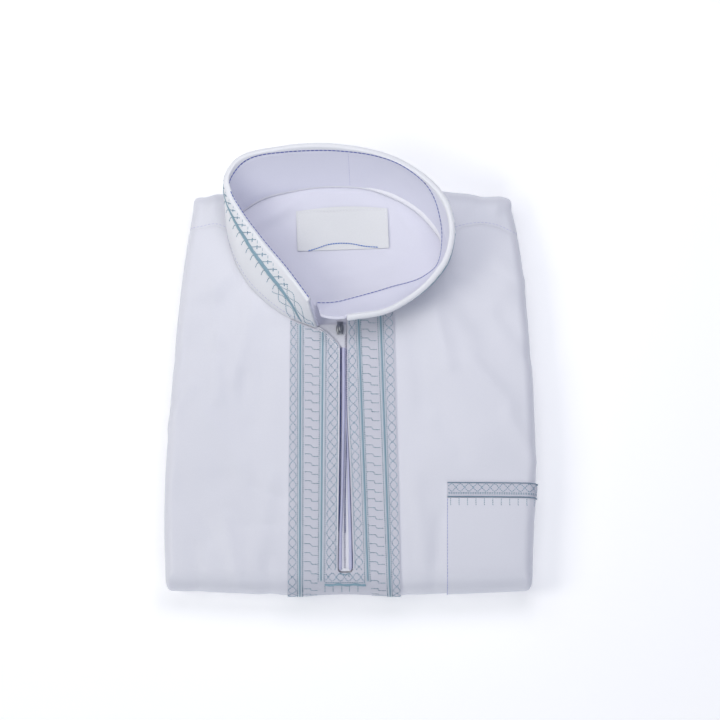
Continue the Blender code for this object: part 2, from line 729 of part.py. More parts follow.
def make_collar(outer_look, inner_look):
    """Two bands, one inside the other; a couched cord runs round the outer one."""
    seams, tops, normals, bulges = collar_frames()
    frames = list(zip(seams, tops, normals, bulges))
    half_gap = SEAM_GAP / 2
    far = half_gap + BAND_CLOTH
    middles = (seams + tops) / 2
    runs = np.concatenate(([0.0], np.cumsum(np.linalg.norm(np.diff(middles, axis=0), axis=1))))

    def outer_face(run):
        height = through(run, COLLAR_CORD)
        rise = CORD_RISE * smoothstep(CORD_START[0], CORD_START[1], run)
        cord = ((height - CORD_HALF, 0.0), (height - CORD_HALF * 0.6, rise),
                (height + CORD_HALF * 0.6, rise), (height + CORD_HALF, 0.0))
        above = height + CORD_HALF + 0.5 * (0.96 - height - CORD_HALF)
        return [(0.0, far, 0.0), (0.5 * (height - CORD_HALF), far, 0.0)] + [(h, far, e) for h, e in cord] + \
               [(above, far, 0.0), (0.96, far - 0.25, 0.0)]

    outer_back = [(1.0, far - 0.8, 0.0), (0.985, half_gap, 0.0), (0.6, half_gap, 0.0), (0.3, half_gap, 0.0),
                  (0.0, half_gap, 0.0)]
    inner_face = [(0.0, -far, 0.0), (0.3, -far, 0.0), (0.6, -far, 0.0), (0.96, -far + 0.25, 0.0)]
    inner_back = [(1.0, -far + 0.8, 0.0), (0.985, -half_gap, 0.0), (0.6, -half_gap, 0.0), (0.3, -half_gap, 0.0),
                  (0.0, -half_gap, 0.0)]
    made = []
    inner_frames = frames + tab_frames(frames)
    outer_profiles = [outer_face(run) + outer_back for run in runs]
    inner_profiles = [inner_face + inner_back] * len(inner_frames)
    for name, places, profiles, look in (("collar_outer", frames, outer_profiles, outer_look),
                                         ("collar_inner", inner_frames, inner_profiles, inner_look)):
        bm = bmesh.new()
        rings = add_grid(bm, [[band_point(frame, *spot) for spot in profile]
                              for frame, profile in zip(places, profiles)])
        count = len(profiles[0])
        for ring, following in zip(rings, rings[1:]):
            for i in range(count):
                k = (i + 1) % count
                quad(bm, ring[i], ring[k], following[k], following[i])
        bm.faces.new(rings[0])
        bm.faces.new(rings[-1])
        made.append(new_object(name, bm, look))
    return made


# ---------------------------------------------------------------- placket, zip and pocket


def strip_across(spot, along):
    high, low = spot[0], spot[1]
    return high + (low - high) * (STRIP_HIGH - along) / (STRIP_HIGH - STRIP_LOW)


def strip_top(x, side):
    """Upper end of a strip: just clear of the collar's seam, and beside the zip on the pulled-back edge."""
    left_end = NECK_LINE[0]
    clearance = COLLAR_CLEARANCE[side]
    if side == "right":
        return neck_y(x, "right") - clearance
    if x < left_end[0]:
        return neck_y(x, "left") - clearance
    return front_top(x) - clearance * (1 - 0.85 * smoothstep(left_end[0], -7.0, x))


def make_strip(name, spots, side, look):
    """Embroidered strip beside the zip, run over the bottom fold; its inner cord stops above the bar."""
    bm = bmesh.new()
    over, under = [], []
    lowest = RISING + ROW_COUNT - 1
    for j in range(lowest + 1):
        over_row, under_row = [], []
        for i, spot in enumerate(spots):
            anchor = spot[0]
            high = strip_top(anchor, side)
            if j < RISING:
                along = high + (RISE_LINE - high) * j / RISING
            else:
                along = straight_along(anchor, j - RISING)
            across = strip_across(spot, along)
            if i == 0:
                edge = slit_edge(along, side)
                across = edge - 0.35 if side == "left" else edge + 0.35
            rise = spot[2] * CORD_RISE
            if 2 <= i <= 3:
                rise *= smoothstep(INNER_CORD_END - 4.0, INNER_CORD_END, along)
            under_row.append(cloth(across, along, SEAM_GAP))
            over_row.append(cloth(across, along, SEAM_GAP + STRIP_CLOTH + rise))
        over.append(over_row)
        under.append(under_row)
    wall(bm, over, under)
    return new_object(name, bm, look)


def make_bar(look):
    """Couched bar across the placket, below the zip."""
    stations, along, width = BAR
    lift = SEAM_GAP + STRIP_CLOTH + SEAM_GAP
    rows = []
    for across in np.linspace(stations[0], stations[-1], 9):
        rows.append([(across, along + width * share) for share in (-0.5, -0.25, 0.25, 0.5)])
    return cloth_wall("placket_bar", rows, lift, 0.5, look, [0.0, CORD_RISE, CORD_RISE, 0.0])


def zip_sides(along):
    """Left and right edges of what lies in the slit."""
    if along > 15.0:
        t = (along - 15.0) / 14.0
        left = -6.6 - 8.6 * min(t, 1.0)**0.8
    else:
        left = slit_edge(along, "left")
    return left + SEAM_GAP, slit_edge(along, "right") - SEAM_GAP


def make_zip(tape_look, welt_look, metal_look):
    """Tape in the slit, a folded welt along each side of it, and the slider at the top."""
    alongs = [29.0, 25.0, 20.0] + list(np.linspace(15.0, SLIT_END + 4.2, 15)) + [SLIT_END + 2.8]
    tape, left_welt, right_welt = [], [], []
    for along in alongs:
        left, right = zip_sides(along)
        width = right - left
        welt = 0.26 * width if along <= 15.0 else 0.9
        tape_left = left + welt + 0.25 if along <= 15.0 else left + 0.2
        tape_right = right - welt * 0.9 - 0.25
        tape.append([(tape_left + (tape_right - tape_left) * s, along) for s in (0.0, 0.35, 0.65, 1.0)])
        if along <= 15.0:
            left_welt.append([(left + welt * s, along) for s in (0.0, 0.3, 0.7, 1.0)])
        right_welt.append([(right - welt * 0.9 * s, along) for s in (1.0, 0.7, 0.3, 0.0)])
    cloth_wall("zip_tape", tape, -CLOTH, TAPE_CLOTH, tape_look, [0.0, 0.35, 0.35, 0.0])
    swell = [0.0, 0.75, 0.75, 0.0]
    cloth_wall("zip_welt_left", left_welt, -CLOTH, 1.3, welt_look, swell)
    cloth_wall("zip_welt_right", right_welt, -CLOTH, 1.3, welt_look, swell)

    x, y = SLIDER_PLACE
    width, length, height = SLIDER_SIZE
    bm = bmesh.new()
    bmesh.ops.create_cube(bm, size=1.0)
    bmesh.ops.scale(bm, verts=bm.verts, vec=(width * MM, length * MM, height * MM))
    for vert in bm.verts:
        if vert.co.y < 0:
            vert.co.x *= 0.72
    bmesh.ops.bevel(bm, geom=bm.edges[:], offset=0.7 * MM, segments=2, affect="EDGES", profile=0.5)
    floor = cloth(x, y, -CLOTH + TAPE_CLOTH + 0.35 + SEAM_GAP)[2]
    bmesh.ops.translate(bm, verts=bm.verts, vec=(x * MM, y * MM, (floor + height / 2) * MM))
    new_object("zip_slider", bm, metal_look)


def make_pocket(look, band_look):
    """Patch pocket that runs round the right side and the bottom fold, with a band along its top."""
    turns = [turn for turn in TURN_STEPS if turn < POCKET_TURN + 0.01]
    flats = (POCKET_LEFT, 69.0, 78.0, 88.0, 98.0, 109.0)

    def row_at(along):
        row = []
        for x in flats:
            row.append((side_shift(x, along), along))
        edge = side_shift(109.0, along)
        row += [(edge + SIDE_ROLL * turn, along) for turn in turns]
        return row

    def shared_row(index):
        row = []
        for x in flats:
            along = straight_along(x, index)
            row.append((side_shift(x, along), along))
        along = straight_along(109.0, index)
        edge = side_shift(109.0, along)
        row += [(edge + SIDE_ROLL * turn, along) for turn in turns]
        return row

    band_bottom = POCKET_TOP - POCKET_BAND
    lines = [index for index in range(ROW_COUNT)
             if straight_along(90.0, index) < band_bottom - 4.0 and index < ROW_COUNT - 1]
    rows = [row_at(band_bottom - SEAM_GAP)] + [shared_row(index) for index in lines]
    cloth_wall("pocket", rows, SEAM_GAP, STRIP_CLOTH, look)

    bm = bmesh.new()
    over, under = [], []
    for down, rise in POCKET_CORDS:
        row = row_at(POCKET_TOP - down)
        under.append([cloth(a, b, SEAM_GAP) for a, b in row])
        over.append([cloth(a, b, SEAM_GAP + STRIP_CLOTH + rise * CORD_RISE * 0.8) for a, b in row])
    wall(bm, over, under)
    new_object("pocket_band", bm, band_look)


def make_label(look):
    """Woven label sewn to the back under the neck."""
    left, right, bottom, top = LABEL
    bm = bmesh.new()
    over, under = [], []
    for j in range(6):
        over_row, under_row = [], []
        for i in range(10):
            x = left + (right - left) * i / 9
            y = bottom + (top - bottom) * j / 5 + LABEL_TILT * (x - left)
            lift = back_top(x, y) + SEAM_GAP
            under_row.append(cloth(x, y, lift))
            over_row.append(cloth(x, y, lift + LABEL_CLOTH))
        over.append(over_row)
        under.append(under_row)
    wall(bm, over, under)
    return new_object("neck_label", bm, look)


# ---------------------------------------------------------------- build

for old in list(bpy.data.objects):
    bpy.data.objects.remove(old, do_unlink=True)

PARTS = bpy.data.collections.new("thobe_robe")
bpy.context.scene.collection.children.link(PARTS)

body_look = material("body_cloth", (0.72, 0.72, 0.84), 0.45)
inside_look = material("inside_cloth", (0.70, 0.70, 0.80), 0.55)
collar_look = material("collar_cloth", (0.80, 0.80, 0.86), 0.45)
strip_look = material("embroidered_cloth", (0.60, 0.68, 0.74), 0.55)
thread_look = material("teal_thread", (0.22, 0.42, 0.50), 0.5)
welt_look = material("welt_cloth", (0.52, 0.50, 0.72), 0.5)
tape_look = material("zip_tape", (0.82, 0.82, 0.84), 0.7)
metal_look = material("zip_metal", (0.62, 0.63, 0.64), 0.3, 1.0)
label_look = material("label_satin", (0.82, 0.82, 0.80), 0.5)

make_layers(body_look)
make_front(body_look)
make_yoke(body_look)
make_back(inside_look)
make_collar(collar_look, inside_look)
make_strip("placket_left", LEFT_STRIP, "left", strip_look)
make_strip("placket_right", RIGHT_STRIP, "right", strip_look)
make_bar(thread_look)
make_zip(tape_look, welt_look, metal_look)
make_pocket(body_look, strip_look)
make_label(label_look)
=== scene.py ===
"""The looks of a folded thobe robe: its cloth, embroidery, zip, pocket and label.

Tables and sizes are in millimetres, as in the part's own source. Cloth has two flat coordinates, across and
along; past the line where a fold starts they go on as length measured over the fold.
"""

import bisect
import math

import bmesh
import bpy
import numpy as np
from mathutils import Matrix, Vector


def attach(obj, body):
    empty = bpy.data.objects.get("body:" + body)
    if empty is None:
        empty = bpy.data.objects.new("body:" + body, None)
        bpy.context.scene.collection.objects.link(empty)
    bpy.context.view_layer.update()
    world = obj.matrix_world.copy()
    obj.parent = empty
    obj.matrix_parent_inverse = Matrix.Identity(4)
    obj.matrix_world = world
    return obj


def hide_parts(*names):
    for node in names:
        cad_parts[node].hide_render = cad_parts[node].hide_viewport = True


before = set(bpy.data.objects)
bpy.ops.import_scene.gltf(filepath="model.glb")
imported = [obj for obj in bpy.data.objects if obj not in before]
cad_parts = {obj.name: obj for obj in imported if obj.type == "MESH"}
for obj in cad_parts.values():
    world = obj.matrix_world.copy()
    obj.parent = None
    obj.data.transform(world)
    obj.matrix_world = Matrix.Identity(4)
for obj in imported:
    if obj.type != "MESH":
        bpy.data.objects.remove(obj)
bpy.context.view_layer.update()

# ---------------------------------------------------------------- sizes and tables

MM = 0.001
CENTRE = (0.649, -0.645)

CLOTH = 0.8              # wall of one layer of cloth
SEAM_GAP = 0.3
SHOULDER_GAP = 0.06      # the shoulder's two edges meet in a pressed seam
ROLL_GAP = 0.6
CAD_CLOTH = 1.4          # wall that the folded layers leave room for
SIDE_ROLL = 6.5
FRONT_ROLL = 14.0
BACK_ROLL = 9.0
CORNER_POWER = 4.0
TUCK = math.radians(150)
SIDE_FALL = 3.0
BAND_CLOTH = 1.8
STRIP_CLOTH = 1.0
SEWN_GAP = 0.05          # between a sewn-on piece and the cloth under it
RISE_LINE = 8.0
STILL, SIDE = 78.0, 109.0   # columns within STILL keep their place; SIDE's columns follow the outline
SHOULDER_LEVEL = 91.0

# along, left edge, right edge, height of the top
OUTLINE = (
    (122.0, -95.0, 95.5, 23.4),
    (105.0, -99.0, 101.5, 24.0),
    (92.0, -101.3, 104.5, 25.0),
    (74.0, -104.0, 107.5, 26.4),
    (52.0, -106.8, 110.0, 27.8),
    (26.0, -109.5, 112.2, 28.8),
    (0.0, -111.6, 114.5, 29.5),
    (-30.0, -113.9, 115.8, 30.0),
    (-68.0, -116.5, 116.5, 30.0),
    (-100.0, -117.0, 114.6, 29.4),
    (-140.0, -115.6, 113.2, 28.4),
)
# across, along
FRONT_EDGE = ((-113, -138.3), (-83, -139.5), (-38, -141.0), (-3, -139.7), (31, -141.0), (69, -139.7),
              (112, -137.6))
BACK_EDGE = ((-97, 112.5), (-80, 114.7), (-60, 118.5), (-30, 122.0), (0, 122.8), (35, 120.5), (60, 116.5),
             (80, 114.5), (97, 112.5))
SHOULDER_SEAM = ((-110, 90.0), (-95, 91.3), (-85, 93.0), (-76, 89.8), (59, 84.5), (65, 90.0), (72, 92.5),
                 (92, 92.5), (102, 88.5), (112, 86.0))
# Pressed folds and soft creases: both ends in flat coordinates, half width, height.
PRESSED_FOLDS = (
    (-96.0, 60.0, -88.0, -70.0, 15.0, 0.9),
    (-60.0, 20.0, -84.0, -66.0, 17.0, -0.8),
    (62.0, 76.0, 92.0, 22.0, 16.0, -1.0),
    (50.0, 34.0, 84.0, -36.0, 18.0, 0.9),
    (-86.0, -98.0, -50.0, -84.0, 15.0, -0.8),
    (46.0, -60.0, 100.0, -48.0, 16.0, 0.8),
)
CREASES = (
    (-70.0, 66.0, -102.0, 44.0, 5.0, 0.55),
    (-66.0, 58.0, -96.0, 18.0, 6.0, -0.50),
    (-60.0, 44.0, -74.0, -6.0, 5.0, 0.45),
    (-84.0, 30.0, -110.0, 8.0, 4.5, -0.45),
    (-48.0, 26.0, -60.0, -34.0, 5.5, -0.45),
    (-100.0, -10.0, -116.0, -36.0, 4.0, 0.40),
    (-92.0, -26.0, -70.0, -60.0, 6.0, 0.40),
    (-50.0, -70.0, -58.0, -120.0, 5.0, 0.35),
    (-106.0, -72.0, -88.0, -108.0, 5.0, -0.45),
    (-78.0, -96.0, -70.0, -136.0, 4.5, 0.45),
    (-98.0, -112.0, -94.0, -146.0, 4.0, -0.45),
    (-52.0, -122.0, -50.0, -150.0, 4.0, -0.40),
    (66.0, 66.0, 98.0, 52.0, 5.0, 0.55),
    (60.0, 54.0, 86.0, 24.0, 6.0, -0.50),
    (52.0, 40.0, 62.0, 4.0, 5.0, 0.45),
    (96.0, 36.0, 114.0, 10.0, 4.5, -0.50),
    (40.0, 24.0, 46.0, -24.0, 5.0, -0.40),
    (76.0, 6.0, 100.0, -22.0, 5.5, 0.45),
    (50.0, -14.0, 70.0, -54.0, 6.0, -0.40),
    (100.0, -30.0, 116.0, -58.0, 4.5, 0.40),
    (40.0, -70.0, 46.0, -118.0, 5.0, 0.35),
    (56.0, -96.0, 52.0, -144.0, 4.0, -0.40),
    (-88.0, 100.0, -84.0, 122.0, 4.0, 0.40),
    (76.0, 98.0, 84.0, 120.0, 4.0, -0.40),
    (92.0, 104.0, 96.0, 124.0, 3.5, 0.40),
    (-104.0, 42.0, -73.0, 41.0, 5.0, -0.50),
    (-107.0, 13.0, -85.0, 11.0, 5.0, -0.45),
    (-85.0, 51.0, -83.5, -19.0, 3.6, 0.42),
    (-66.0, -4.0, -66.0, -22.0, 4.0, -0.40),
    (-107.0, -83.0, -79.0, -70.0, 8.0, -0.50),
    (-60.0, -74.0, -41.0, -83.0, 4.0, -0.35),
    (-63.0, -99.0, -47.0, -99.0, 4.0, -0.30),
    (93.0, 69.0, 110.0, 57.5, 4.0, 0.45),
    (98.0, 105.0, 99.0, 92.0, 5.0, -0.35),
)
INSIDE_CREASES = (
    (-52.0, 98.0, -34.0, 108.0, 3.5, 0.5),
    (-58.0, 88.0, -38.0, 96.0, 4.0, -0.5),
    (30.0, 104.0, 46.0, 84.0, 4.0, 0.5),
    (-30.0, 72.0, 8.0, 68.0, 4.5, -0.5),
    (-14.0, 62.0, 30.0, 70.0, 5.0, 0.5),
    (-50.0, 66.0, -20.0, 48.0, 5.0, 0.4),
    (-6.0, 52.0, 22.0, 58.0, 4.0, -0.4),
    (24.0, 78.0, 42.0, 72.0, 4.0, -0.4),
)
CREASE_DEPTH = 2.3
CREASE_BEND, CREASE_SOFTNESS, CREASE_FLOOR = -0.6, 0.7, -1.3   # deeper ones flatten out above the layers
SIDE_LAYERS = ((0.30, 3.2), (0.33, 2.0), (0.37, 2.8))   # share of the height, inset
LAYER_NIP = 1.5

# seam x, seam y, top x, top y, top height, swell of the middle; round the neck from the left front end
COLLAR = (
    (-20.5, 27.4, -26.1, 40.8, 53.0, 0.6),
    (-41.9, 36.4, -39.4, 59.5, 52.5, 1.2),
    (-60.8, 52.4, -55.8, 79.7, 51.0, 1.6),
    (-73.2, 75.6, -70.2, 99.7, 50.0, 1.7),
    (-75.4, 89.1, -75.9, 109.9, 50.0, 1.5),
    (-72.1, 100.1, -78.1, 119.5, 50.0, 1.4),
    (-62.7, 107.9, -72.8, 129.8, 49.5, 1.0),
    (-35.6, 117.3, -42.5, 139.2, 48.5, 0.8),
    (-3.5, 120.1, -5.4, 139.8, 49.0, 0.6),
    (27.4, 114.5, 29.9, 130.2, 51.0, 0.8),
    (50.1, 98.8, 55.1, 110.5, 54.0, 1.0),
    (58.4, 85.8, 62.1, 96.8, 55.5, 1.0),
    (58.3, 74.2, 63.9, 81.3, 56.5, 1.0),
    (55.1, 65.2, 60.2, 66.5, 56.5, 1.4),
    (47.6, 58.8, 52.6, 55.1, 55.0, 1.8),
    (23.6, 51.1, 26.8, 34.9, 51.0, 1.4),
    (-2.8, 43.4, -2.2, 28.7, 50.0, 0.6),
)
COLLAR_TAB = (-21.5, 41.5, -18.5, 30.5, 46.0)   # free end of the inner band: seam x, y, top x, y, height
# along, left edge, right edge
SLIT = (
    (43.0, -6.6, -2.3),
    (15.0, -6.6, -2.3),
    (-20.0, -6.7, -2.2),
    (-60.0, -7.1, -0.4),
    (-120.0, -7.9, 1.6),
)
SLIT_TOP, SLIT_END, SLIT_MIDDLE, SLIT_CORNER = 15.0, -129.4, -3.1, 2.6
SLIT_LEFT, SLIT_RIGHT = SLIT[0][1:]
DIP_DEPTH, DIP_HALF, SHOULDERS_FROM = 0.34, 1.1, 80.0      # the dip along the shoulder seams
BOWL_DEPTH, BOWL_HALF_WIDTH, BOWL_HALF_LENGTH = 3.4, 70.0, 46.0
CORNER_SWEEP = 1.4       # power of the pulled-back corner's curve

# Placket strips, from the zip outwards: across at along = 3 and at along = -118.
LEFT_STRIP = ((-7.3, -8.6), (-14.9, -15.7), (-19.5, -20.4), (-28.7, -29.1), (-33.5, -33.5), (-38.2, -39.3))
RIGHT_STRIP = ((-1.6, 2.4), (4.1, 8.2), (7.5, 12.0), (17.2, 21.6), (21.8, 25.7), (27.8, 31.0))
EDGE, INNER_CORD_FROM, INNER_CORD_TO, OUTER_CORD_FROM, OUTER_CORD_TO, HEM = range(6)
STRIP_HIGH, STRIP_LOW = 3.0, -118.0
STRIP_FACE = SEWN_GAP + STRIP_CLOTH
STRIP_FOOT = -175.0      # where the embroidery runs out of sight under the bottom fold
INNER_CORD_END = -134.6
COLLAR_CLEARANCE = {"left": 2.25, "right": 5.6}

POCKET_LEFT, POCKET_TOP, POCKET_BAND = 60.6, -71.9, 9.8
POCKET_LOW = POCKET_TOP - POCKET_BAND
POCKET_TURN = math.radians(120)
BAR_FROM, BAR_TO, BAR_ALONG = -16.2, 9.6, -136.8
LABEL = (-34.3, 23.2, 77.0, 102.4)   # left, right, bottom, top
LABEL_TILT = 0.035
SLIDER_PLACE = (-6.6, 26.5)

# ---------------------------------------------------------------- curves and surfaces


def cubic(t, span, start, end, slope_start, slope_end):
    return ((2 * t**3 - 3 * t**2 + 1) * start + (t**3 - 2 * t**2 + t) * span * slope_start
            + (3 * t**2 - 2 * t**3) * end + (t**3 - t**2) * span * slope_end)


class Table:
    """A smooth curve through the rows of a table, read by the first column."""

    def __init__(self, rows, column=1):
        ordered = sorted(rows)
        self.keys = [float(row[0]) for row in ordered]
        self.values = [float(row[column]) for row in ordered]
        self.slopes = [float(s) for s in np.gradient(self.values, self.keys)]

    def __call__(self, at):
        keys, values, slopes = self.keys, self.values, self.slopes
        if at <= keys[0]:
            return values[0]
        if at >= keys[-1]:
            return values[-1]
        i = bisect.bisect_left(keys, at) - 1
        span = keys[i + 1] - keys[i]
        return cubic((at - keys[i]) / span, span, values[i], values[i + 1], slopes[i], slopes[i + 1])


outline_left, outline_right, outline_top = (Table(OUTLINE, column) for column in (1, 2, 3))
front_edge, back_edge, shoulder_seam = Table(FRONT_EDGE), Table(BACK_EDGE), Table(SHOULDER_SEAM)
slit_line = {"left": Table(SLIT, 1), "right": Table(SLIT, 2)}


def smoothstep(low, high, value):
    t = min(max((value - low) / (high - low), 0.0), 1.0)
    return t * t * (3 - 2 * t)


def ridges(x, y, table):
    """Height that a table of soft ridges adds; each dies away towards its ends."""
    total = 0.0
    for x0, y0, x1, y1, width, height in table:
        run_x, run_y = x1 - x0, y1 - y0
        t = ((x - x0) * run_x + (y - y0) * run_y) / (run_x**2 + run_y**2)
        nearest = min(max(t, 0.0), 1.0)
        away2 = (x - x0 - nearest * run_x)**2 + (y - y0 - nearest * run_y)**2
        if away2 < 9 * width**2:
            total += height * math.exp(-away2 / width**2)
    return total


def creased(x, y):
    depth = CREASE_DEPTH * ridges(x, y, CREASES)
    if depth > CREASE_BEND:
        return depth
    return CREASE_FLOOR + CREASE_SOFTNESS * math.exp((depth - CREASE_BEND) / CREASE_SOFTNESS)


def top_height(x, y):
    left, right = outline_left(y), outline_right(y)
    off_middle = (2 * x - left - right) / (right - left)
    return outline_top(y) - SIDE_FALL * off_middle**4 + ridges(x, y, PRESSED_FOLDS)


def front_roll(x):
    return FRONT_ROLL - 0.5 * SIDE_FALL * min(abs(x) / 115.0, 1.0)**4


def front_line(x):
    return front_edge(x) + front_roll(x)


def back_line(x):
    return back_edge(x) - BACK_ROLL


def left_line(y):
    return outline_left(y) + SIDE_ROLL


def right_line(y):
    return outline_right(y) - SIDE_ROLL


def rolled(base_x, base_y, turn_x, turn_y, lift):
    """Point on the rolled edge that starts at a base point and turns by the two angles."""
    turn = (abs(turn_x)**CORNER_POWER + abs(turn_y)**CORNER_POWER)**(1 / CORNER_POWER)
    top = top_height(base_x, base_y)
    if turn < 1e-9:
        return (base_x, base_y, top + lift)
    way_x, way_y = turn_x / turn, turn_y / turn
    squarer = min(turn / TUCK, 1.0)**2
    turn += (max(abs(turn_x), abs(turn_y)) - turn) * squarer
    roll_y = front_roll(base_x) if turn_y < 0 else BACK_ROLL
    radius = SIDE_ROLL * abs(way_x)**CORNER_POWER + roll_y * abs(way_y)**CORNER_POWER
    return (base_x + way_x * (SIDE_ROLL + lift) * math.sin(turn),
            base_y + way_y * (roll_y + lift) * math.sin(turn),
            top - radius + (radius + lift) * math.cos(turn))


def smooth_cloth(across, along, lift=0.0):
    """Point of the folded body, without the fine creases."""
    base_y = along
    for _ in range(2):
        base_x = min(max(across, left_line(base_y)), right_line(base_y))
        base_y = min(max(along, front_line(base_x)), back_line(base_x))
    roll_y = front_roll(base_x) if along < base_y else BACK_ROLL
    return rolled(base_x, base_y, (across - base_x) / SIDE_ROLL, (along - base_y) / roll_y, lift)


def seam_dip(across, along):
    """How far the cloth sinks along the shoulder seams."""
    if along < SHOULDERS_FROM or LEFT_CORNER < across < RIGHT_CORNER:
        return 0.0
    return -DIP_DEPTH * math.exp(-((along - shoulder_seam(min(max(across, -SIDE), SIDE))) / DIP_HALF)**2)


def cloth(across, along, lift=0.0):
    """Point of the folded body's cloth, with its creases."""
    return smooth_cloth(across, along, lift + creased(across, along) + seam_dip(across, along))


def turned_cloth(down, across, lift):
    """The cloth with its two flat coordinates swapped, for sewing that runs across."""
    return cloth(across, -down, lift)


def cloth_height(x, y):
    line = back_line(x)
    if y <= line:
        return top_height(x, y) + creased(x, y)
    sine = min((y - line) / BACK_ROLL, 0.98)
    return top_height(x, line) - BACK_ROLL * (1 - math.sqrt(1 - sine**2)) + creased(x, y)


def flat_along(x, y):
    line = back_line(x)
    return y if y <= line else line + BACK_ROLL * math.asin(min((y - line) / BACK_ROLL, 0.98))


def neck_bowl(x, y):
    """How far the back sinks inside the neck."""
    off2 = ((x + 8.0) / BOWL_HALF_WIDTH)**2 + ((y - 74.0) / BOWL_HALF_LENGTH)**2
    return BOWL_DEPTH * max(0.0, 1 - off2)**2


def run_lengths(points):
    """Length from the first point to each of them."""
    return np.concatenate(([0.0], np.cumsum([math.dist(a, b) for a, b in zip(points, points[1:])])))


def spline_rows(table, count):
    """Rows read from a smooth curve through a table's rows, evenly by the length of its seam."""
    rows = np.array(table, float)
    at = np.concatenate(([0.0], np.cumsum(np.linalg.norm(np.diff(rows[:, :2], axis=0), axis=1))))
    slopes = np.gradient(rows, at, axis=0)
    result = []
    for place in np.linspace(0.0, at[-1], count):
        i = min(int(np.searchsorted(at, place, side="right")) - 1, len(at) - 2)
        span = at[i + 1] - at[i]
        result.append(cubic((place - at[i]) / span, span, rows[i], rows[i + 1], slopes[i], slopes[i + 1]))
    return np.array(result)


NECK_LINE = spline_rows(COLLAR, 300)[:, :2]
NECK_LEFT, NECK_RIGHT = int(np.argmin(NECK_LINE[:, 0])), int(np.argmax(NECK_LINE[:, 0]))
LEFT_CORNER, RIGHT_CORNER = float(NECK_LINE[NECK_LEFT][0]), float(NECK_LINE[NECK_RIGHT][0])
NECK_PARTS = {"left": NECK_LINE[:NECK_LEFT + 1][::-1], "back": NECK_LINE[NECK_LEFT:NECK_RIGHT + 1],
              "right": NECK_LINE[NECK_RIGHT:][::-1]}


def neck_y(x, part):
    """Where the collar's seam line passes over x, on its left front, back or right front part."""
    line = NECK_PARTS[part]
    return float(np.interp(x, line[:, 0], line[:, 1]))


# ---------------------------------------------------------------- making meshes


def in_frame(x, y, z):
    """The frame's place, in metres, of a point in the tables' millimetres."""
    return Vector(((x - CENTRE[0]) * MM, (y - CENTRE[1]) * MM, z * MM))


def add_object(name, data):
    made = bpy.data.objects.new(name, data)
    bpy.context.scene.collection.objects.link(made)
    return made


def add_piece(name, mesh, stands_for=None):
    piece = add_object(name, mesh)
    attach(piece, "root")
    if stands_for:
        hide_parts(stands_for)
    return piece


SAME_POINT, SAME_EDGE = 1e-5, 1e-4
SHARP_TURN = math.radians(55)


def finish_mesh(name, bm, look, stands_for=None):
    """Turns a bmesh in the tables' millimetres into a piece of the robe, none of it under the floor."""
    bmesh.ops.remove_doubles(bm, verts=bm.verts, dist=SAME_POINT)
    bmesh.ops.recalc_face_normals(bm, faces=bm.faces)
    for vert in bm.verts:
        vert.co = in_frame(vert.co.x, vert.co.y, max(vert.co.z, 0.0))
    mesh = bpy.data.meshes.new(name)
    bm.to_mesh(mesh)
    bm.free()
    mesh.shade_smooth()
    mesh.set_sharp_from_angle(angle=SHARP_TURN)
    mesh.materials.append(look)
    return add_piece(name, mesh, stands_for)


def skin(bm, rings, spot_of=None, caps=(0, -1)):
    """Faces between rings of vertices, and over the ends; spot_of maps the number of a ring and a corner."""
    layer = spot_of and bm.loops.layers.uv.verify()
    for k, (ring, after) in enumerate(zip(rings, rings[1:])):
        for i in range(len(ring)):
            n = (i + 1) % len(ring)
            made = bm.faces.new((ring[i], ring[n], after[n], after[i]))
            if spot_of:
                for corner, spot in zip(made.loops, ((k, i), (k, i + 1), (k + 1, i + 1), (k + 1, i))):
                    across, along = spot_of(*spot)
                    corner[layer].uv = (across * MM, along * MM)
    for cap in caps:
        bm.faces.new(rings[cap])


def add_wall(bm, outer, inner, maps):
    """Closed wall between two grids of points, with the cloth's flat coordinates in metres as its map."""
    layer = bm.loops.layers.uv.verify()
    over, under = ([[bm.verts.new(p) for p in row] for row in grid] for grid in (outer, inner))

    def face(*corners):
        made = bm.faces.new([grid[j][i] for grid, j, i in corners])
        for loop, (_, j, i) in zip(made.loops, corners):
            loop[layer].uv = (maps[j][i][0] * MM, maps[j][i][1] * MM)

    rows, cols = len(maps) - 1, len(maps[0]) - 1
    for j in range(rows):
        for i in range(cols):
            face((over, j, i), (over, j, i + 1), (over, j + 1, i + 1), (over, j + 1, i))
            face((under, j, i), (under, j + 1, i), (under, j + 1, i + 1), (under, j, i + 1))
    for j in range(rows):
        for i in (0, cols):
            face((over, j, i), (over, j + 1, i), (under, j + 1, i), (under, j, i))
    for i in range(cols):
        for j in (0, rows):
            face((over, j, i), (over, j, i + 1), (under, j, i + 1), (under, j, i))


def lay(rows, lift, surface=cloth):
    return [[surface(a, b, lift) for a, b in row] for row in rows]


def cloth_wall(name, rows, lift, thickness, look, stands_for=None):
    bm = bmesh.new()
    add_wall(bm, lay(rows, lift + thickness), lay(rows, lift), rows)
    return finish_mesh(name, bm, look, stands_for)


SHORTEST_SHEET, LEAST_SHARE = 0.0102, 0.301


def declare_cloth(piece, held, *rests_on):
    """Reads the flat size that a piece's map gives; nothing is done with it."""
    mesh = piece.data
    spots = np.empty(len(mesh.uv_layers[0].data) * 2)
    mesh.uv_layers[0].data.foreach_get("uv", spots)
    spots = spots.reshape(-1, 2)
    width, length = spots.max(axis=0) - spots.min(axis=0)
    length = max(length, SHORTEST_SHEET)


# ---------------------------------------------------------------- finishes


def feed(socket, value):
    """Sets an input, or links it to another node's output."""
    if isinstance(value, bpy.types.NodeSocket):
        socket.id_data.links.new(value, socket)
    else:
        socket.default_value = value


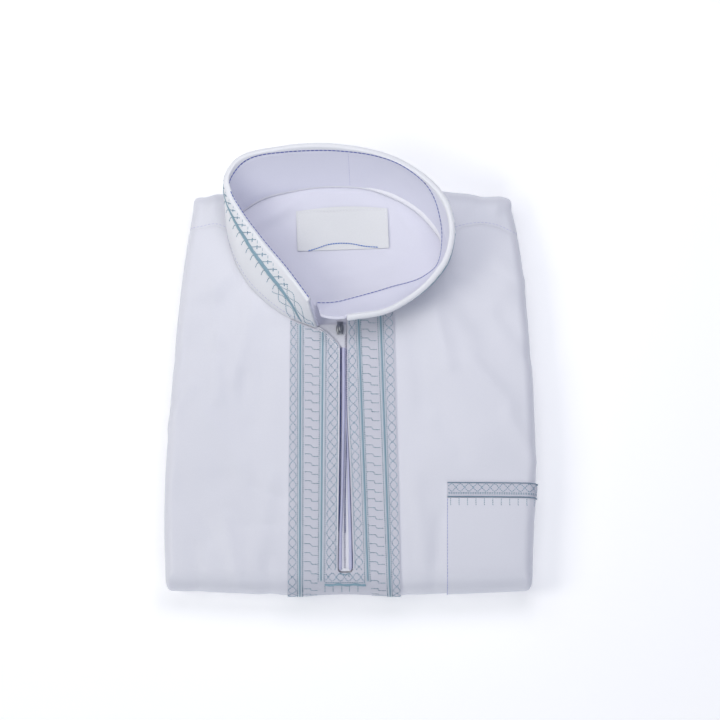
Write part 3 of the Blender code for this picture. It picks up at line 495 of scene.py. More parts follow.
def node(tree, kind, *values, **settings):
    """Adds a node; the settings are properties or inputs by name, and the values go to its inputs in turn."""
    made = tree.nodes.new(kind)
    for key, value in settings.items():
        name = key.replace("_", " ")
        if name in made.inputs:
            feed(made.inputs[name], value)
        else:
            setattr(made, key, value)
    for socket, value in zip(made.inputs, values):
        feed(socket, value)
    return made


def two_tones(tree, source, low, shade, high, colour):
    ramp = node(tree, "ShaderNodeValToRGB", Fac=source)
    for stop, position, tone in zip(ramp.color_ramp.elements, (low, high), (shade, colour)):
        stop.position, stop.color = position, (*tone, 1)
    return ramp.outputs["Color"]


def relief(tree, height, strength, distance):
    return node(tree, "ShaderNodeBump", Strength=strength, Distance=distance, Height=height).outputs["Normal"]


def new_material(name):
    made = bpy.data.materials.new(name)
    made.use_nodes = True
    return made, made.node_tree


def finish(made, **settings):
    """Sets or feeds the sockets of a material's shader."""
    shader = made.node_tree.nodes["Principled BSDF"]
    for key, value in settings.items():
        feed(shader.inputs[key.replace("_", " ")], value)
    return made


def woven(name, colour, shade, roughness, sheen, thread=0.42, raised=0.10, edge_highlight_colour=None):
    """Plain weave: colour that drifts a little, crossed threads as fine relief, and a soft sheen."""
    made, tree = new_material(name)
    spot = node(tree, "ShaderNodeUVMap").outputs["UV"]
    place = node(tree, "ShaderNodeTexCoord").outputs["Object"]
    drift = node(tree, "ShaderNodeTexNoise", Vector=place, Scale=14.0, Detail=3.0, Roughness=0.5)
    slub = node(tree, "ShaderNodeTexNoise", Vector=spot, Scale=900.0, Detail=2.0)
    both = node(tree, "ShaderNodeMix", data_type="FLOAT", Factor=0.3, A=drift.outputs["Fac"],
                B=slub.outputs["Fac"])
    tone = two_tones(tree, both.outputs["Result"], 0.34, shade, 0.66, colour)
    # Painted highlight: paler towards the top edge, by the height over the rim line that the mesh carries.
    if edge_highlight_colour:
        above = node(tree, "ShaderNodeAttribute", attribute_name="rim").outputs["Fac"]
        share = node(tree, "ShaderNodeMapRange", Value=above, From_Min=-0.15, From_Max=0.25).outputs["Result"]
        tone = node(tree, "ShaderNodeMix", data_type="RGBA", Factor=share, A=tone,
                    B=(*edge_highlight_colour, 1)).outputs["Result"]
    warp, weft = (node(tree, "ShaderNodeTexWave", Vector=spot, wave_type="BANDS", bands_direction=way,
                       Scale=2 * math.pi / (20 * thread * MM)).outputs["Fac"] for way in "XY")
    crossing = node(tree, "ShaderNodeMath", warp, weft, operation="MULTIPLY").outputs["Value"]
    return finish(made, Base_Color=tone, Normal=relief(tree, crossing, raised, 0.0002), Roughness=roughness,
                  Specular_IOR_Level=0.35, Sheen_Weight=sheen, Sheen_Roughness=0.35,
                  Sheen_Tint=(0.85, 0.87, 1.0, 1.0))


def thread_finish(name, colour, shade, roughness=0.42):
    """Twisted embroidery thread: colour that changes from stitch to stitch, with a silky gloss."""
    made, tree = new_material(name)
    place = node(tree, "ShaderNodeTexCoord").outputs["Object"]
    change = node(tree, "ShaderNodeTexNoise", Vector=place, Scale=420.0, Detail=2.0).outputs["Fac"]
    strands = node(tree, "ShaderNodeTexNoise", Vector=place, Scale=3000.0, Detail=1.0).outputs["Fac"]
    return finish(made, Base_Color=two_tones(tree, change, 0.35, shade, 0.65, colour),
                  Normal=relief(tree, strands, 0.25, 0.0001), Roughness=roughness, Sheen_Weight=0.3)


def cord_finish(name, colour, shade):
    """Thread wound slantwise over a cord."""
    made, tree = new_material(name)
    slant = node(tree, "ShaderNodeMapping", Vector=node(tree, "ShaderNodeUVMap").outputs["UV"],
                 Rotation=(0.0, 0.0, math.radians(35))).outputs["Vector"]
    wound = node(tree, "ShaderNodeTexWave", Vector=slant, wave_type="BANDS", bands_direction="X",
                 Scale=2 * math.pi / (20 * 0.45 * MM), Distortion=1.2, Detail=2.0,
                 Detail_Scale=0.6).outputs["Fac"]
    return finish(made, Base_Color=two_tones(tree, wound, 0.15, shade, 0.7, colour),
                  Normal=relief(tree, wound, 0.6, 0.0003), Roughness=0.4, Sheen_Weight=0.3)


def metal_finish(name, colour):
    made, tree = new_material(name)
    place = node(tree, "ShaderNodeTexCoord").outputs["Object"]
    wear = node(tree, "ShaderNodeTexNoise", Vector=place, Scale=900.0, Detail=3.0).outputs["Fac"]
    gloss = node(tree, "ShaderNodeMapRange", Value=wear, To_Min=0.22, To_Max=0.42).outputs["Result"]
    return finish(made, Base_Color=(*colour, 1), Metallic=1.0, Roughness=gloss)


body_look = woven("robe_cloth", (0.79, 0.792, 0.84), (0.76, 0.763, 0.815), 0.42, 0.2)
# The robe's cloth made darker and bluer for the back seen inside the neck: painted shade.
inside_shaded_look = woven("robe_cloth_inside_shaded", (0.72, 0.72, 0.80), (0.69, 0.69, 0.775), 0.5, 0.15)
# The robe's cloth made paler for the collar's outer face: painted light.
band_lit_look = woven("collar_cloth", (0.88, 0.885, 0.90), (0.86, 0.865, 0.885), 0.45, 0.2, raised=0.08)
# Paler than the robe's cloth; on the collar's inner seam strip the paleness paints the light that the strip
# catches.
piping_look = woven("piping_cloth", (0.871, 0.871, 0.898), (0.818, 0.818, 0.858), 0.45, 0.2, raised=0.08)
# The collar's cloth made darker and bluer for its inside: painted shade; towards its top edge it is painted
# paler, a painted highlight.
band_inside_shaded_look = woven("collar_inside_shaded_cloth", (0.79, 0.79, 0.88), (0.76, 0.76, 0.86), 0.5, 0.15,
                         raised=0.08, edge_highlight_colour=(0.84, 0.84, 0.91))
strip_look = woven("placket_cloth", (0.66, 0.66, 0.719), (0.62, 0.627, 0.686), 0.55, 0.15, 0.5, 0.16)
# The robe's cloth made darker and bluer for the welts in the slit: painted shade.
welt_shaded_look = woven("welt_cloth", (0.61, 0.62, 0.78), (0.502, 0.508, 0.686), 0.45, 0.2)
tape_look = woven("zip_tape_weave", (0.832, 0.832, 0.871), (0.726, 0.726, 0.779), 0.6, 0.1, 0.6, 0.3)
label_look = woven("label_satin_weave", (0.74, 0.747, 0.747), (0.69, 0.70, 0.71), 0.38, 0.15, 0.28, 0.12)
teal_look = thread_finish("teal_thread", (0.19, 0.36, 0.44), (0.09, 0.21, 0.29))
fine_teal_look = thread_finish("fine_teal_thread", (0.22, 0.39, 0.49), (0.11, 0.24, 0.34))
dark_teal_look = thread_finish("dark_teal_thread", (0.17, 0.34, 0.42), (0.08, 0.19, 0.27))
faint_teal_look = thread_finish("faint_teal_thread", (0.42, 0.56, 0.63), (0.28, 0.42, 0.50))
# Deep blue of the line along the seam under the collar's turned edge: it paints that seam's shadow line.
collar_seam_shadow_look = thread_finish("blue_thread", (0.106, 0.145, 0.475), (0.066, 0.092, 0.37))
# Blue for the line along the pocket's left seam: it paints the shadow line of the pocket's folded edge.
pocket_seam_shadow_look = thread_finish("blue_seam_shadow_thread", (0.29, 0.304, 0.66), (0.224, 0.238, 0.581))
label_line_look = thread_finish("label_blue_thread", (0.132, 0.264, 0.634), (0.092, 0.198, 0.554))
seam_look = thread_finish("seam_thread", (0.554, 0.554, 0.766), (0.475, 0.475, 0.686))
coil_look = thread_finish("zip_coil", (0.317, 0.317, 0.422), (0.211, 0.211, 0.317), 0.3)
# Near-black indigo for the lines in the slit's grooves: painted shadow in the gaps beside the welts and the
# coil.
groove_shadow_look = thread_finish("indigo_shadow_thread", (0.046, 0.066, 0.251), (0.026, 0.04, 0.172))
cord_look = cord_finish("wound_teal_cord", (0.37, 0.53, 0.61), (0.16, 0.32, 0.42))
dark_cord_look = cord_finish("wound_dark_cord", (0.29, 0.42, 0.53), (0.145, 0.25, 0.35))
pale_cord_look = cord_finish("wound_pale_cord", (0.792, 0.832, 0.884), (0.607, 0.66, 0.739))
filling_look = cord_finish("pale_teal_filling", (0.68, 0.74, 0.79), (0.58, 0.66, 0.73))
metal_look = metal_finish("zip_metal", (0.30, 0.31, 0.33))

# ---------------------------------------------------------------- body cloth

TURN_STEPS = [TUCK * k / 5 for k in range(1, 6)]
FOLD_STEPS = [math.radians(turn) for turn in (7.5, 15.0, 38.0, 65.0, 94.0, 122.0, 150.0)]
RISING, STRAIGHT = 7, 12     # rows from the neckline down to RISE_LINE, and from there to the bottom fold
ROW_END = RISING + STRAIGHT + len(FOLD_STEPS)
WIDEST_GAP = 3.0             # between two columns of the cloth


def row_along(x, row, high):
    """Along of a point at a row: from the neckline to the straight rows, then round the bottom fold."""
    if row <= RISING:
        return high + (RISE_LINE - high) * row / RISING
    row -= RISING
    if row <= STRAIGHT:
        return RISE_LINE + (front_line(x) - RISE_LINE) * row / STRAIGHT
    angle = float(np.interp(row - STRAIGHT, range(len(FOLD_STEPS) + 1), [0.0] + FOLD_STEPS))
    return front_line(x) - front_roll(x) * angle


def fine(values, count):
    """A list of numbers with each step divided."""
    result = []
    for low, high in zip(values, values[1:]):
        result += [low + (high - low) * k / count for k in range(count)]
    return result + [values[-1]]


def row_at(along):
    """Row number whose along at the slit is the one wanted."""
    low, high = float(RISING), float(ROW_END)
    for _ in range(50):
        middle = (low + high) / 2
        if row_along(SLIT_MIDDLE, middle, SLIT_TOP) > along:
            low = middle
        else:
            high = middle
    return low


NEAR_TOP = [0.04, 0.09, 0.15, 0.22, 0.5]
SLIT_FOOT = [row_at(SLIT_END + over) for over in (-0.02, 0.02, 0.12, 0.35, 0.75, 1.3, 1.9, 2.6)]
BODY_ROWS = sorted(fine(range(RISING + 1), 3)[:-1] + fine(range(RISING, RISING + STRAIGHT + 1), 5)[:-1]
                   + fine(range(RISING + STRAIGHT, ROW_END + 1), 4) + NEAR_TOP + SLIT_FOOT)


def side_shift(x, y):
    """Across of a column at a level: the outer columns spread to meet the outline."""
    if x < -STILL:
        return -STILL + (x + STILL) * (left_line(y) + STILL) / (STILL - SIDE)
    if x > STILL:
        return STILL + (x - STILL) * (right_line(y) - STILL) / (SIDE - STILL)
    return x


def slit_edge(along, side):
    """Edge of the zip's slit; at its lower end the slit closes squarely with round corners."""
    edge = slit_line[side](along)
    over = along - SLIT_END
    if over <= 0:
        return SLIT_MIDDLE
    if over < SLIT_CORNER:
        drawn_in = SLIT_CORNER - math.sqrt(SLIT_CORNER**2 - (SLIT_CORNER - over)**2)
        return edge - math.copysign(drawn_in, edge - SLIT_MIDDLE)
    return edge


def front_top(x):
    """Upper boundary of the front: shoulder seams, neckline and the pulled-back corner beside the zip."""
    if x <= LEFT_CORNER or x >= RIGHT_CORNER:
        return shoulder_seam(side_shift(x, SHOULDER_LEVEL)) - SHOULDER_GAP / 2
    (corner_x, corner_y), right_end = NECK_LINE[0], NECK_LINE[-1]
    if x < corner_x or x >= right_end[0]:
        return neck_y(x, "left" if x < corner_x else "right")
    t = min((x - corner_x) / (SLIT_LEFT - corner_x), 1.0)
    return corner_y + (SLIT_TOP - corner_y) * t**CORNER_SWEEP


def flat_columns(*places):
    return [("flat", x) for x in places]


LEFT_SIDE = ([("turn", -turn) for turn in reversed(TURN_STEPS)]
             + flat_columns(-SIDE, -103.0, -97.0, -91.0, -86.0, LEFT_CORNER - 0.6, LEFT_CORNER + 0.15,
                            LEFT_CORNER + 2.0))
RIGHT_SIDE = (flat_columns(RIGHT_CORNER - 0.15, RIGHT_CORNER + 0.6, 64.0, 71.0, 79.0, 83.0, 88.0, 93.0, 98.0,
                           103.0, SIDE)
              + [("turn", turn) for turn in TURN_STEPS])
LEFT_COLUMNS = (LEFT_SIDE + flat_columns(-69.0, -62.0, -53.0, -42.0, -31.0, -20.5)
                + [("near", -13.0), ("slit", SLIT_LEFT)])
RIGHT_COLUMNS = [("slit", SLIT_RIGHT)] + flat_columns(9.0, 21.0, 33.0, 44.0, 52.0, 56.5) + RIGHT_SIDE
YOKE_COLUMNS = (LEFT_SIDE + flat_columns(-70.0, -63.0, -54.0, -42.0, -28.0, -12.0, 4.0, 18.0, 30.0, 41.0,
                                         49.0, 54.0, 57.0) + RIGHT_SIDE)
YOKE_ROWS = 30


def anchor_of(column):
    """Nominal across of a column; those that turn over a side start from the side's own."""
    kind, value = column
    return math.copysign(SIDE, value) if kind == "turn" else value


def front_spot(column, side, row):
    """Flat place where a column of the front crosses a row."""
    kind, value = column
    anchor = anchor_of(column)
    along = row_along(SLIT_MIDDLE if kind == "slit" and row >= RISING else anchor, row, front_top(anchor))
    if kind == "turn":
        return side_shift(anchor, along) + SIDE_ROLL * value, along
    if kind == "slit":
        return slit_edge(along, side), along
    if kind == "near":
        return slit_edge(along, side) + (value - SLIT_LEFT) * 0.9, along
    return side_shift(value, along), along


def yoke_spot(column, row):
    """Flat place where a column of the yoke crosses a row, from the neck and shoulders round the back."""
    kind, value = column
    anchor = anchor_of(column)
    if LEFT_CORNER < anchor < RIGHT_CORNER:
        start = flat_along(anchor, neck_y(anchor, "back"))
    else:
        start = shoulder_seam(side_shift(anchor, SHOULDER_LEVEL)) + SHOULDER_GAP / 2
    back = back_line(side_shift(anchor, SHOULDER_LEVEL))
    along = start + (back + BACK_ROLL * TUCK - start) * row / YOKE_ROWS
    base = side_shift(anchor, min(along, back))
    return (base + SIDE_ROLL * value if kind == "turn" else base), along


def full_row(columns, spots):
    """The columns' places in a row, with more between them so that no gap is too wide."""
    row = []
    for (kind, value), (kind_after, value_after), spot, after in zip(columns, columns[1:], spots, spots[1:]):
        turning = "turn" in (kind, kind_after)
        steps = 3 if turning else max(1, math.ceil(abs(value_after - value) / WIDEST_GAP))
        row += [tuple(p + (q - p) * (k / steps) for p, q in zip(spot, after)) for k in range(steps)]
    return row + [spots[-1]]


def make_front():
    bm = bmesh.new()
    for columns, side in ((LEFT_COLUMNS, "left"), (RIGHT_COLUMNS, "right")):
        rows = [full_row(columns, [front_spot(column, side, row) for column in columns]) for row in BODY_ROWS]
        add_wall(bm, lay(rows, 0.0), lay(rows, -CLOTH), rows)
    bmesh.ops.remove_doubles(bm, verts=bm.verts, dist=SAME_EDGE)
    joined = [face for face in bm.faces if all(abs(vert.co.x - SLIT_MIDDLE) < SAME_EDGE
                                               for vert in face.verts)]
    bmesh.ops.delete(bm, geom=joined, context="FACES")
    return finish_mesh("front_cloth", bm, body_look, "front")


def make_yoke():
    rows = [full_row(YOKE_COLUMNS, [yoke_spot(column, row) for column in YOKE_COLUMNS])
            for row in range(YOKE_ROWS + 1)]
    return cloth_wall("yoke_cloth", rows, -CLOTH, CLOTH, body_look, "back_yoke")


BACK_LEFT, BACK_RIGHT, BACK_LOW = -86.0, 70.0, 11.0
BACK_COLUMNS, BACK_FLAT_ROWS, BACK_CURVED_ROWS = 52, 40, 8
BACK_OVER, BACK_SHORT = 1.2, 6.0     # how far it passes the collar's seam, and stays short of the back fold
RAISED_FOLD = 1.9                    # raised folds stand out more than the hollows


def back_lift(x, y):
    fold = ridges(x, y, INSIDE_CREASES)
    return -(CAD_CLOTH + SEAM_GAP) - neck_bowl(x, y) + fold * (RAISED_FOLD if fold > 0 else 1.0)


def back_spot(x, row):
    if LEFT_CORNER < x < RIGHT_CORNER:
        high = flat_along(x, neck_y(x, "back")) + BACK_OVER
    else:
        high = back_line(x) - BACK_SHORT
    split = min(back_line(x), high - 3.0)
    if row <= BACK_FLAT_ROWS:
        return x, BACK_LOW + (split - BACK_LOW) * row / BACK_FLAT_ROWS
    return x, split + (high - split) * (row - BACK_FLAT_ROWS) / BACK_CURVED_ROWS


def make_back():
    rows = [[back_spot(BACK_LEFT + (BACK_RIGHT - BACK_LEFT) * i / BACK_COLUMNS, row)
             for i in range(BACK_COLUMNS + 1)] for row in range(BACK_FLAT_ROWS + BACK_CURVED_ROWS + 1)]
    over, under = ([[smooth_cloth(x, y, back_lift(x, y) - drop) for x, y in row] for row in rows]
                   for drop in (0.0, CLOTH))
    bm = bmesh.new()
    add_wall(bm, over, under, rows)
    return finish_mesh("back_cloth", bm, inside_shaded_look, "back")


# ---------------------------------------------------------------- hidden layers

BUNDLE_COLUMNS, BUNDLE_ROWS, CORNER_STEPS = 60, 66, 8
BUNDLE_TURNS = (0.0, 14.0, 28.0, 42.0, 56.0, 72.0, 88.0, 106.0, 125.0)
SUNK_TURN, HANGING_TURN = 56.0, 88.0
LOWEST_SHOULDER, TUCKED_PAST = 1.6, 3.2
# share of a layer's height, how far its edge draws back there
LAYER_EDGE = ((0.06, 1.15), (0.16, 0.5), (0.32, 0.16), (0.5, 0.08), (0.68, 0.16), (0.84, 0.5), (0.94, 1.15))


def core_lift(y):
    return -(CAD_CLOTH + ROLL_GAP) - (CAD_CLOTH + SEAM_GAP) * smoothstep(-6.0, 8.0, y)


def bundle_base(u, v):
    """Place on the bundle's flat top, by its shares of the width and the length."""
    x, y = 0.0, 0.0
    for _ in range(4):
        low, high = front_line(x), back_line(x)
        y = low + (high - low) * v
        x = left_line(y) + (right_line(y) - left_line(y)) * u
    return x, y


def bundle_corner(u, v, sign_x, sign_y):
    """Places and ways outwards round one corner, counter-clockwise."""
    angles = [math.pi / 2 * k / CORNER_STEPS for k in range(CORNER_STEPS + 1)]
    if sign_x != sign_y:
        angles = angles[::-1]
    return [(bundle_base(u, v), sign_x * math.cos(a)**(2 / CORNER_POWER),
             sign_y * math.sin(a)**(2 / CORNER_POWER))
            for a in angles]


def bundle_section(place, way_x, way_y):
    """Points down the bundle's side: over the roll, then in and out over the edges of the folded layers."""
    base_x, base_y = place
    top = top_height(base_x, base_y)
    roll_y = front_roll(base_x) if way_y < 0 else BACK_ROLL
    share_y = abs(way_y)**CORNER_POWER
    radius = SIDE_ROLL * (1 - share_y) + roll_y * share_y
    points = []
    for turn in BUNDLE_TURNS:
        angle = math.radians(turn)
        blend = smoothstep(SUNK_TURN, HANGING_TURN, turn)
        sunk = core_lift(base_y) - neck_bowl(base_x, base_y) * (1 - min(turn / SUNK_TURN, 1.0))
        lift = sunk * (1 - blend) - (CAD_CLOTH + ROLL_GAP) * blend
        points.append((base_x + way_x * (SIDE_ROLL + lift) * math.sin(angle),
                       base_y + way_y * (roll_y + lift) * math.sin(angle),
                       top - radius + (radius + lift) * math.cos(angle)))
    height = shoulder = max(LOWEST_SHOULDER, top - 2 * radius + 0.1)
    tuck_in = 0.62 * radius + TUCKED_PAST
    front_share = min(1.6 * abs(way_y), 1.0) if way_y < 0 else 0.0

    def add(inset, at):
        points.append((base_x + way_x * (SIDE_ROLL - inset), base_y + way_y * (roll_y - inset), at))

    add(tuck_in, shoulder)
    run = base_x * way_y - base_y * way_x
    for k, (share, inset) in enumerate(reversed(SIDE_LAYERS)):
        wander = 0.55 * math.sin(run * 0.031 + 2.1 * k) + 0.35 * math.sin(run * 0.083 + 4.0 * k)
        inset += (tuck_in - 0.6 - inset) * front_share
        for down, back in LAYER_EDGE:
            add(inset + 0.3 + back + wander * (1 - front_share), height - down * (share * shoulder))
        height -= share * shoulder
        if height > 0.01:
            add(inset + LAYER_NIP + 1.1, height)
    add(tuck_in * front_share + (SIDE_LAYERS[0][1] + 2.2) * (1 - front_share), 0.0)
    return points


def make_layers():
    """The bundle under the front: its sides show the edges of folded layers, uneven along their length."""
    loop = []
    for u, v, sign_x, sign_y, count, side in (
            (0, 0, -1, -1, BUNDLE_COLUMNS, lambda t: (bundle_base(t, 0), 0.0, -1.0)),
            (1, 0, 1, -1, BUNDLE_ROWS, lambda t: (bundle_base(1, t), 1.0, 0.0)),
            (1, 1, 1, 1, BUNDLE_COLUMNS, lambda t: (bundle_base(1 - t, 1), 0.0, 1.0)),
            (0, 1, -1, 1, BUNDLE_ROWS, lambda t: (bundle_base(0, 1 - t), -1.0, 0.0))):
        loop += bundle_corner(u, v, sign_x, sign_y) + [side(k / count) for k in range(1, count)]
    sections = [bundle_section(*entry) for entry in loop]
    bm = bmesh.new()
    layer = bm.loops.layers.uv.verify()
    run = run_lengths([section[5] for section in sections + sections[:1]])
    skin(bm, [[bm.verts.new(point) for point in ring] for ring in zip(*sections)],
         lambda ring, i: (run[i], ring * 1.2), caps=(-1,))
    grid = []
    for j in range(BUNDLE_ROWS + 1):
        places = [bundle_base(i / BUNDLE_COLUMNS, j / BUNDLE_ROWS) for i in range(BUNDLE_COLUMNS + 1)]
        grid.append([bm.verts.new((x, y, top_height(x, y) + core_lift(y) - neck_bowl(x, y)))
                     for x, y in places])
    for row, after in zip(grid, grid[1:]):
        for i in range(BUNDLE_COLUMNS):
            for corner in bm.faces.new((row[i], row[i + 1], after[i + 1], after[i])).loops:
                corner[layer].uv = (corner.vert.co.x * MM, corner.vert.co.y * MM)
    return finish_mesh("bundle_layers", bm, body_look, "folded_layers")


# ---------------------------------------------------------------- collar

BAND_STATIONS, TAB_STATIONS = 190, 12
BAND_OUT = SEAM_GAP / 2 + BAND_CLOTH
BAND_HEIGHT = 31.0       # flat height of the band, for its map
NECK_CENTRE = (-8.0, 80.0, 35.0)


def underlap(line, end):
    """Carries a line of the collar on in a soft bend to the free end of the inner band."""
    start, way = line[-1], line[-1] - line[-2]
    end = np.array(end)
    bend = start + way / np.linalg.norm(way) * np.linalg.norm(end - start) / 2
    steps = [k / TAB_STATIONS for k in range(1, TAB_STATIONS + 1)]
    return np.concatenate((line, [start * (1 - t)**2 + bend * 2 * t * (1 - t) + end * t**2 for t in steps]))


def seam_point(x, y):
    return x, y, cloth_height(x, y) + SEAM_GAP


def collar_frames():
    """Along the collar: seam, top edge, the way outwards, the swell of its middle, and the length so far."""
    rows = spline_rows(COLLAR, BAND_STATIONS)
    seam, top = np.array([seam_point(x, y) for x, y in rows[:, :2]]), rows[:, 2:5]
    normal = np.cross(np.gradient((seam + top) / 2, axis=0), top - seam)
    normal /= np.linalg.norm(normal, axis=1)[:, None]
    if np.mean(np.sum(normal * (seam - NECK_CENTRE), axis=1)) < 0:
        normal = -normal
    seam, top = underlap(seam, seam_point(*COLLAR_TAB[:2])), underlap(top, COLLAR_TAB[2:])
    normal = np.concatenate((normal, [normal[-1]] * TAB_STATIONS))
    swell = np.concatenate((rows[:, 5], rows[-1, 5] * np.linspace(1, 0, TAB_STATIONS + 1)[1:]))
    steps = np.linalg.norm(np.diff((seam + top) / 2, axis=0), axis=1)
    return seam, top, normal, swell, np.concatenate(([0.0], np.cumsum(steps)))


*COLLAR_LINES, COLLAR_RUN = collar_frames()
BAND_LENGTH = float(COLLAR_RUN[BAND_STATIONS - 1])


def band(run, share, off):
    """Point of the collar at a length round it, a share of its height, and off its middle surface."""
    at = float(np.interp(run, COLLAR_RUN, range(len(COLLAR_RUN))))
    i = min(int(at), len(COLLAR_RUN) - 2)
    seam, top, normal, swell = (rows[i] * (1 - (at - i)) + rows[i + 1] * (at - i) for rows in COLLAR_LINES)
    bulge = swell * 4 * share * (1 - share) if 0 < share < 1 else 0.0
    point = seam + (top - seam) * share + normal * (off + bulge)
    if share <= 0.0:
        point[2] = cloth_height(point[0], point[1]) + SEAM_GAP
    return point


def outside(run, height, lift):
    return band(run, height / BAND_HEIGHT, BAND_OUT + lift)


def inside(run, height, lift):
    return band(run, height / BAND_HEIGHT, -BAND_OUT - lift)


# share of the collar's length, share of its height
blue_line = Table((
    (0.000, 0.91), (0.050, 0.92), (0.100, 0.945), (0.235, 0.945), (0.262, 0.89), (0.290, 0.86), (0.350, 0.92),
    (0.440, 0.88), (0.500, 0.90), (0.560, 0.94), (0.630, 0.94), (0.665, 0.84), (0.690, 0.62), (0.710, 0.34),
    (0.735, 0.10), (0.780, 0.05), (1.000, 0.045),
))
rim_line = Table(((0.700, 0.48), (0.735, 0.30), (0.770, 0.62), (0.810, 0.84), (1.000, 0.84)))
BLUE_TURN = 110.0                # how far over the rounded edge the blue line lies on the left, in degrees
BLUE_COMES_DOWN = (0.240, 0.280)   # part of the collar's length where it comes down to the inner face
EDGE_FROM, EDGE_TOP = 0.952, 0.998   # shares of the height between which the top edge is rounded


ALL_TURNED = 1.3         # a share past the top edge


def rim_share(run):
    """Share of the band's height above which its inside is painted paler: a painted highlight for the light
    on the turned top edge.
    """
    at = run / BAND_LENGTH
    if at > 1.001:
        return ALL_TURNED
    return blue_line(at) if at < 0.70 else rim_line(at)


END_STEPS = (0.0, 0.12, 0.35, 0.7, 1.15)
END_ROUND = 1.3          # length over which a band's end is rounded off


def make_band(name, profile_at, runs, look, stands_for):
    """Lofts a closed section, given as (share, off) at each length, along the collar, and caps its ends."""
    bm = bmesh.new()
    # Height over the rim line, where the inner band's material paints a highlight along the top edge.
    rim = bm.verts.layers.float.new("rim")
    rings, profiles = [], []
    half = sum(off for _, off in profile_at(runs[0])) / len(profile_at(runs[0]))
    first, last = runs[0], runs[-1]
    runs = sorted([first + step for step in END_STEPS] + [last - step for step in END_STEPS]
                  + [float(run) for run in runs[1:-1]])
    for run in runs:
        from_end = min(run - runs[0], runs[-1] - run, END_ROUND) / END_ROUND
        plump = 0.25 + 0.75 * math.sqrt(1 - (1 - from_end)**2)
        profiles.append([(share, half + (off - half) * plump) for share, off in profile_at(run)])
        rings.append([bm.verts.new(band(run, share, off)) for share, off in profiles[-1]])
        for vert, (share, _) in zip(rings[-1], profiles[-1]):
            vert[rim] = (share - rim_share(run)) * BAND_HEIGHT
    count = len(profiles[0])
    skin(bm, rings, lambda ring, i: (runs[ring], profiles[ring][i % count][0] * BAND_HEIGHT))
    return finish_mesh(name, bm, look, stands_for)


def turned_edge(run):
    """Share of the height down to which the outer cloth is turned over the top edge."""
    at = run / BAND_LENGTH
    if at < 0.655:
        return min(blue_line(at), 0.945)
    return 0.90 + 0.085 * smoothstep(BAND_LENGTH, BAND_LENGTH + 1.5, run)


HALF_GAP = SEAM_GAP / 2
BAND_STEPS = [k / 14 for k in range(14)]
EDGE_STEPS = 10


def outer_profile(run):
    """The outer layer: up its face, over the rounded top edge, and back up inside it."""
    edge = turned_edge(run) + 0.006
    low = max(edge + 0.012, EDGE_FROM)
    turned = BAND_OUT - 0.05
    middle, half = (BAND_OUT - turned) / 2, (BAND_OUT + turned) / 2
    over = [(low + (EDGE_TOP - low) * math.sin(math.pi * k / EDGE_STEPS)**0.8,
             middle + half * math.cos(math.pi * k / EDGE_STEPS)) for k in range(EDGE_STEPS + 1)]
    return ([(k * EDGE_FROM, BAND_OUT - 0.35 * smoothstep(0.0, 0.12, 0.12 - k)) for k in BAND_STEPS] + over
            + [(edge + 0.004, -turned), (edge, -BAND_OUT + 0.5), (edge + 0.006, -HALF_GAP)]
            + [(low, -HALF_GAP + 0.1), (low, HALF_GAP)]
            + [(k * EDGE_FROM, HALF_GAP) for k in reversed(BAND_STEPS)])


def inner_profile(run):
    """The inner layer: it ends against the turned edge of the outer one."""
    edge = turned_edge(run) - 0.004
    return ([(k * edge, -HALF_GAP) for k in BAND_STEPS] + [(edge, -HALF_GAP), (edge, -BAND_OUT + 0.5)]
            + [(edge - 0.012, -BAND_OUT)] + [(k * (edge - 0.012), -BAND_OUT) for k in reversed(BAND_STEPS)])


# ---------------------------------------------------------------- stitches


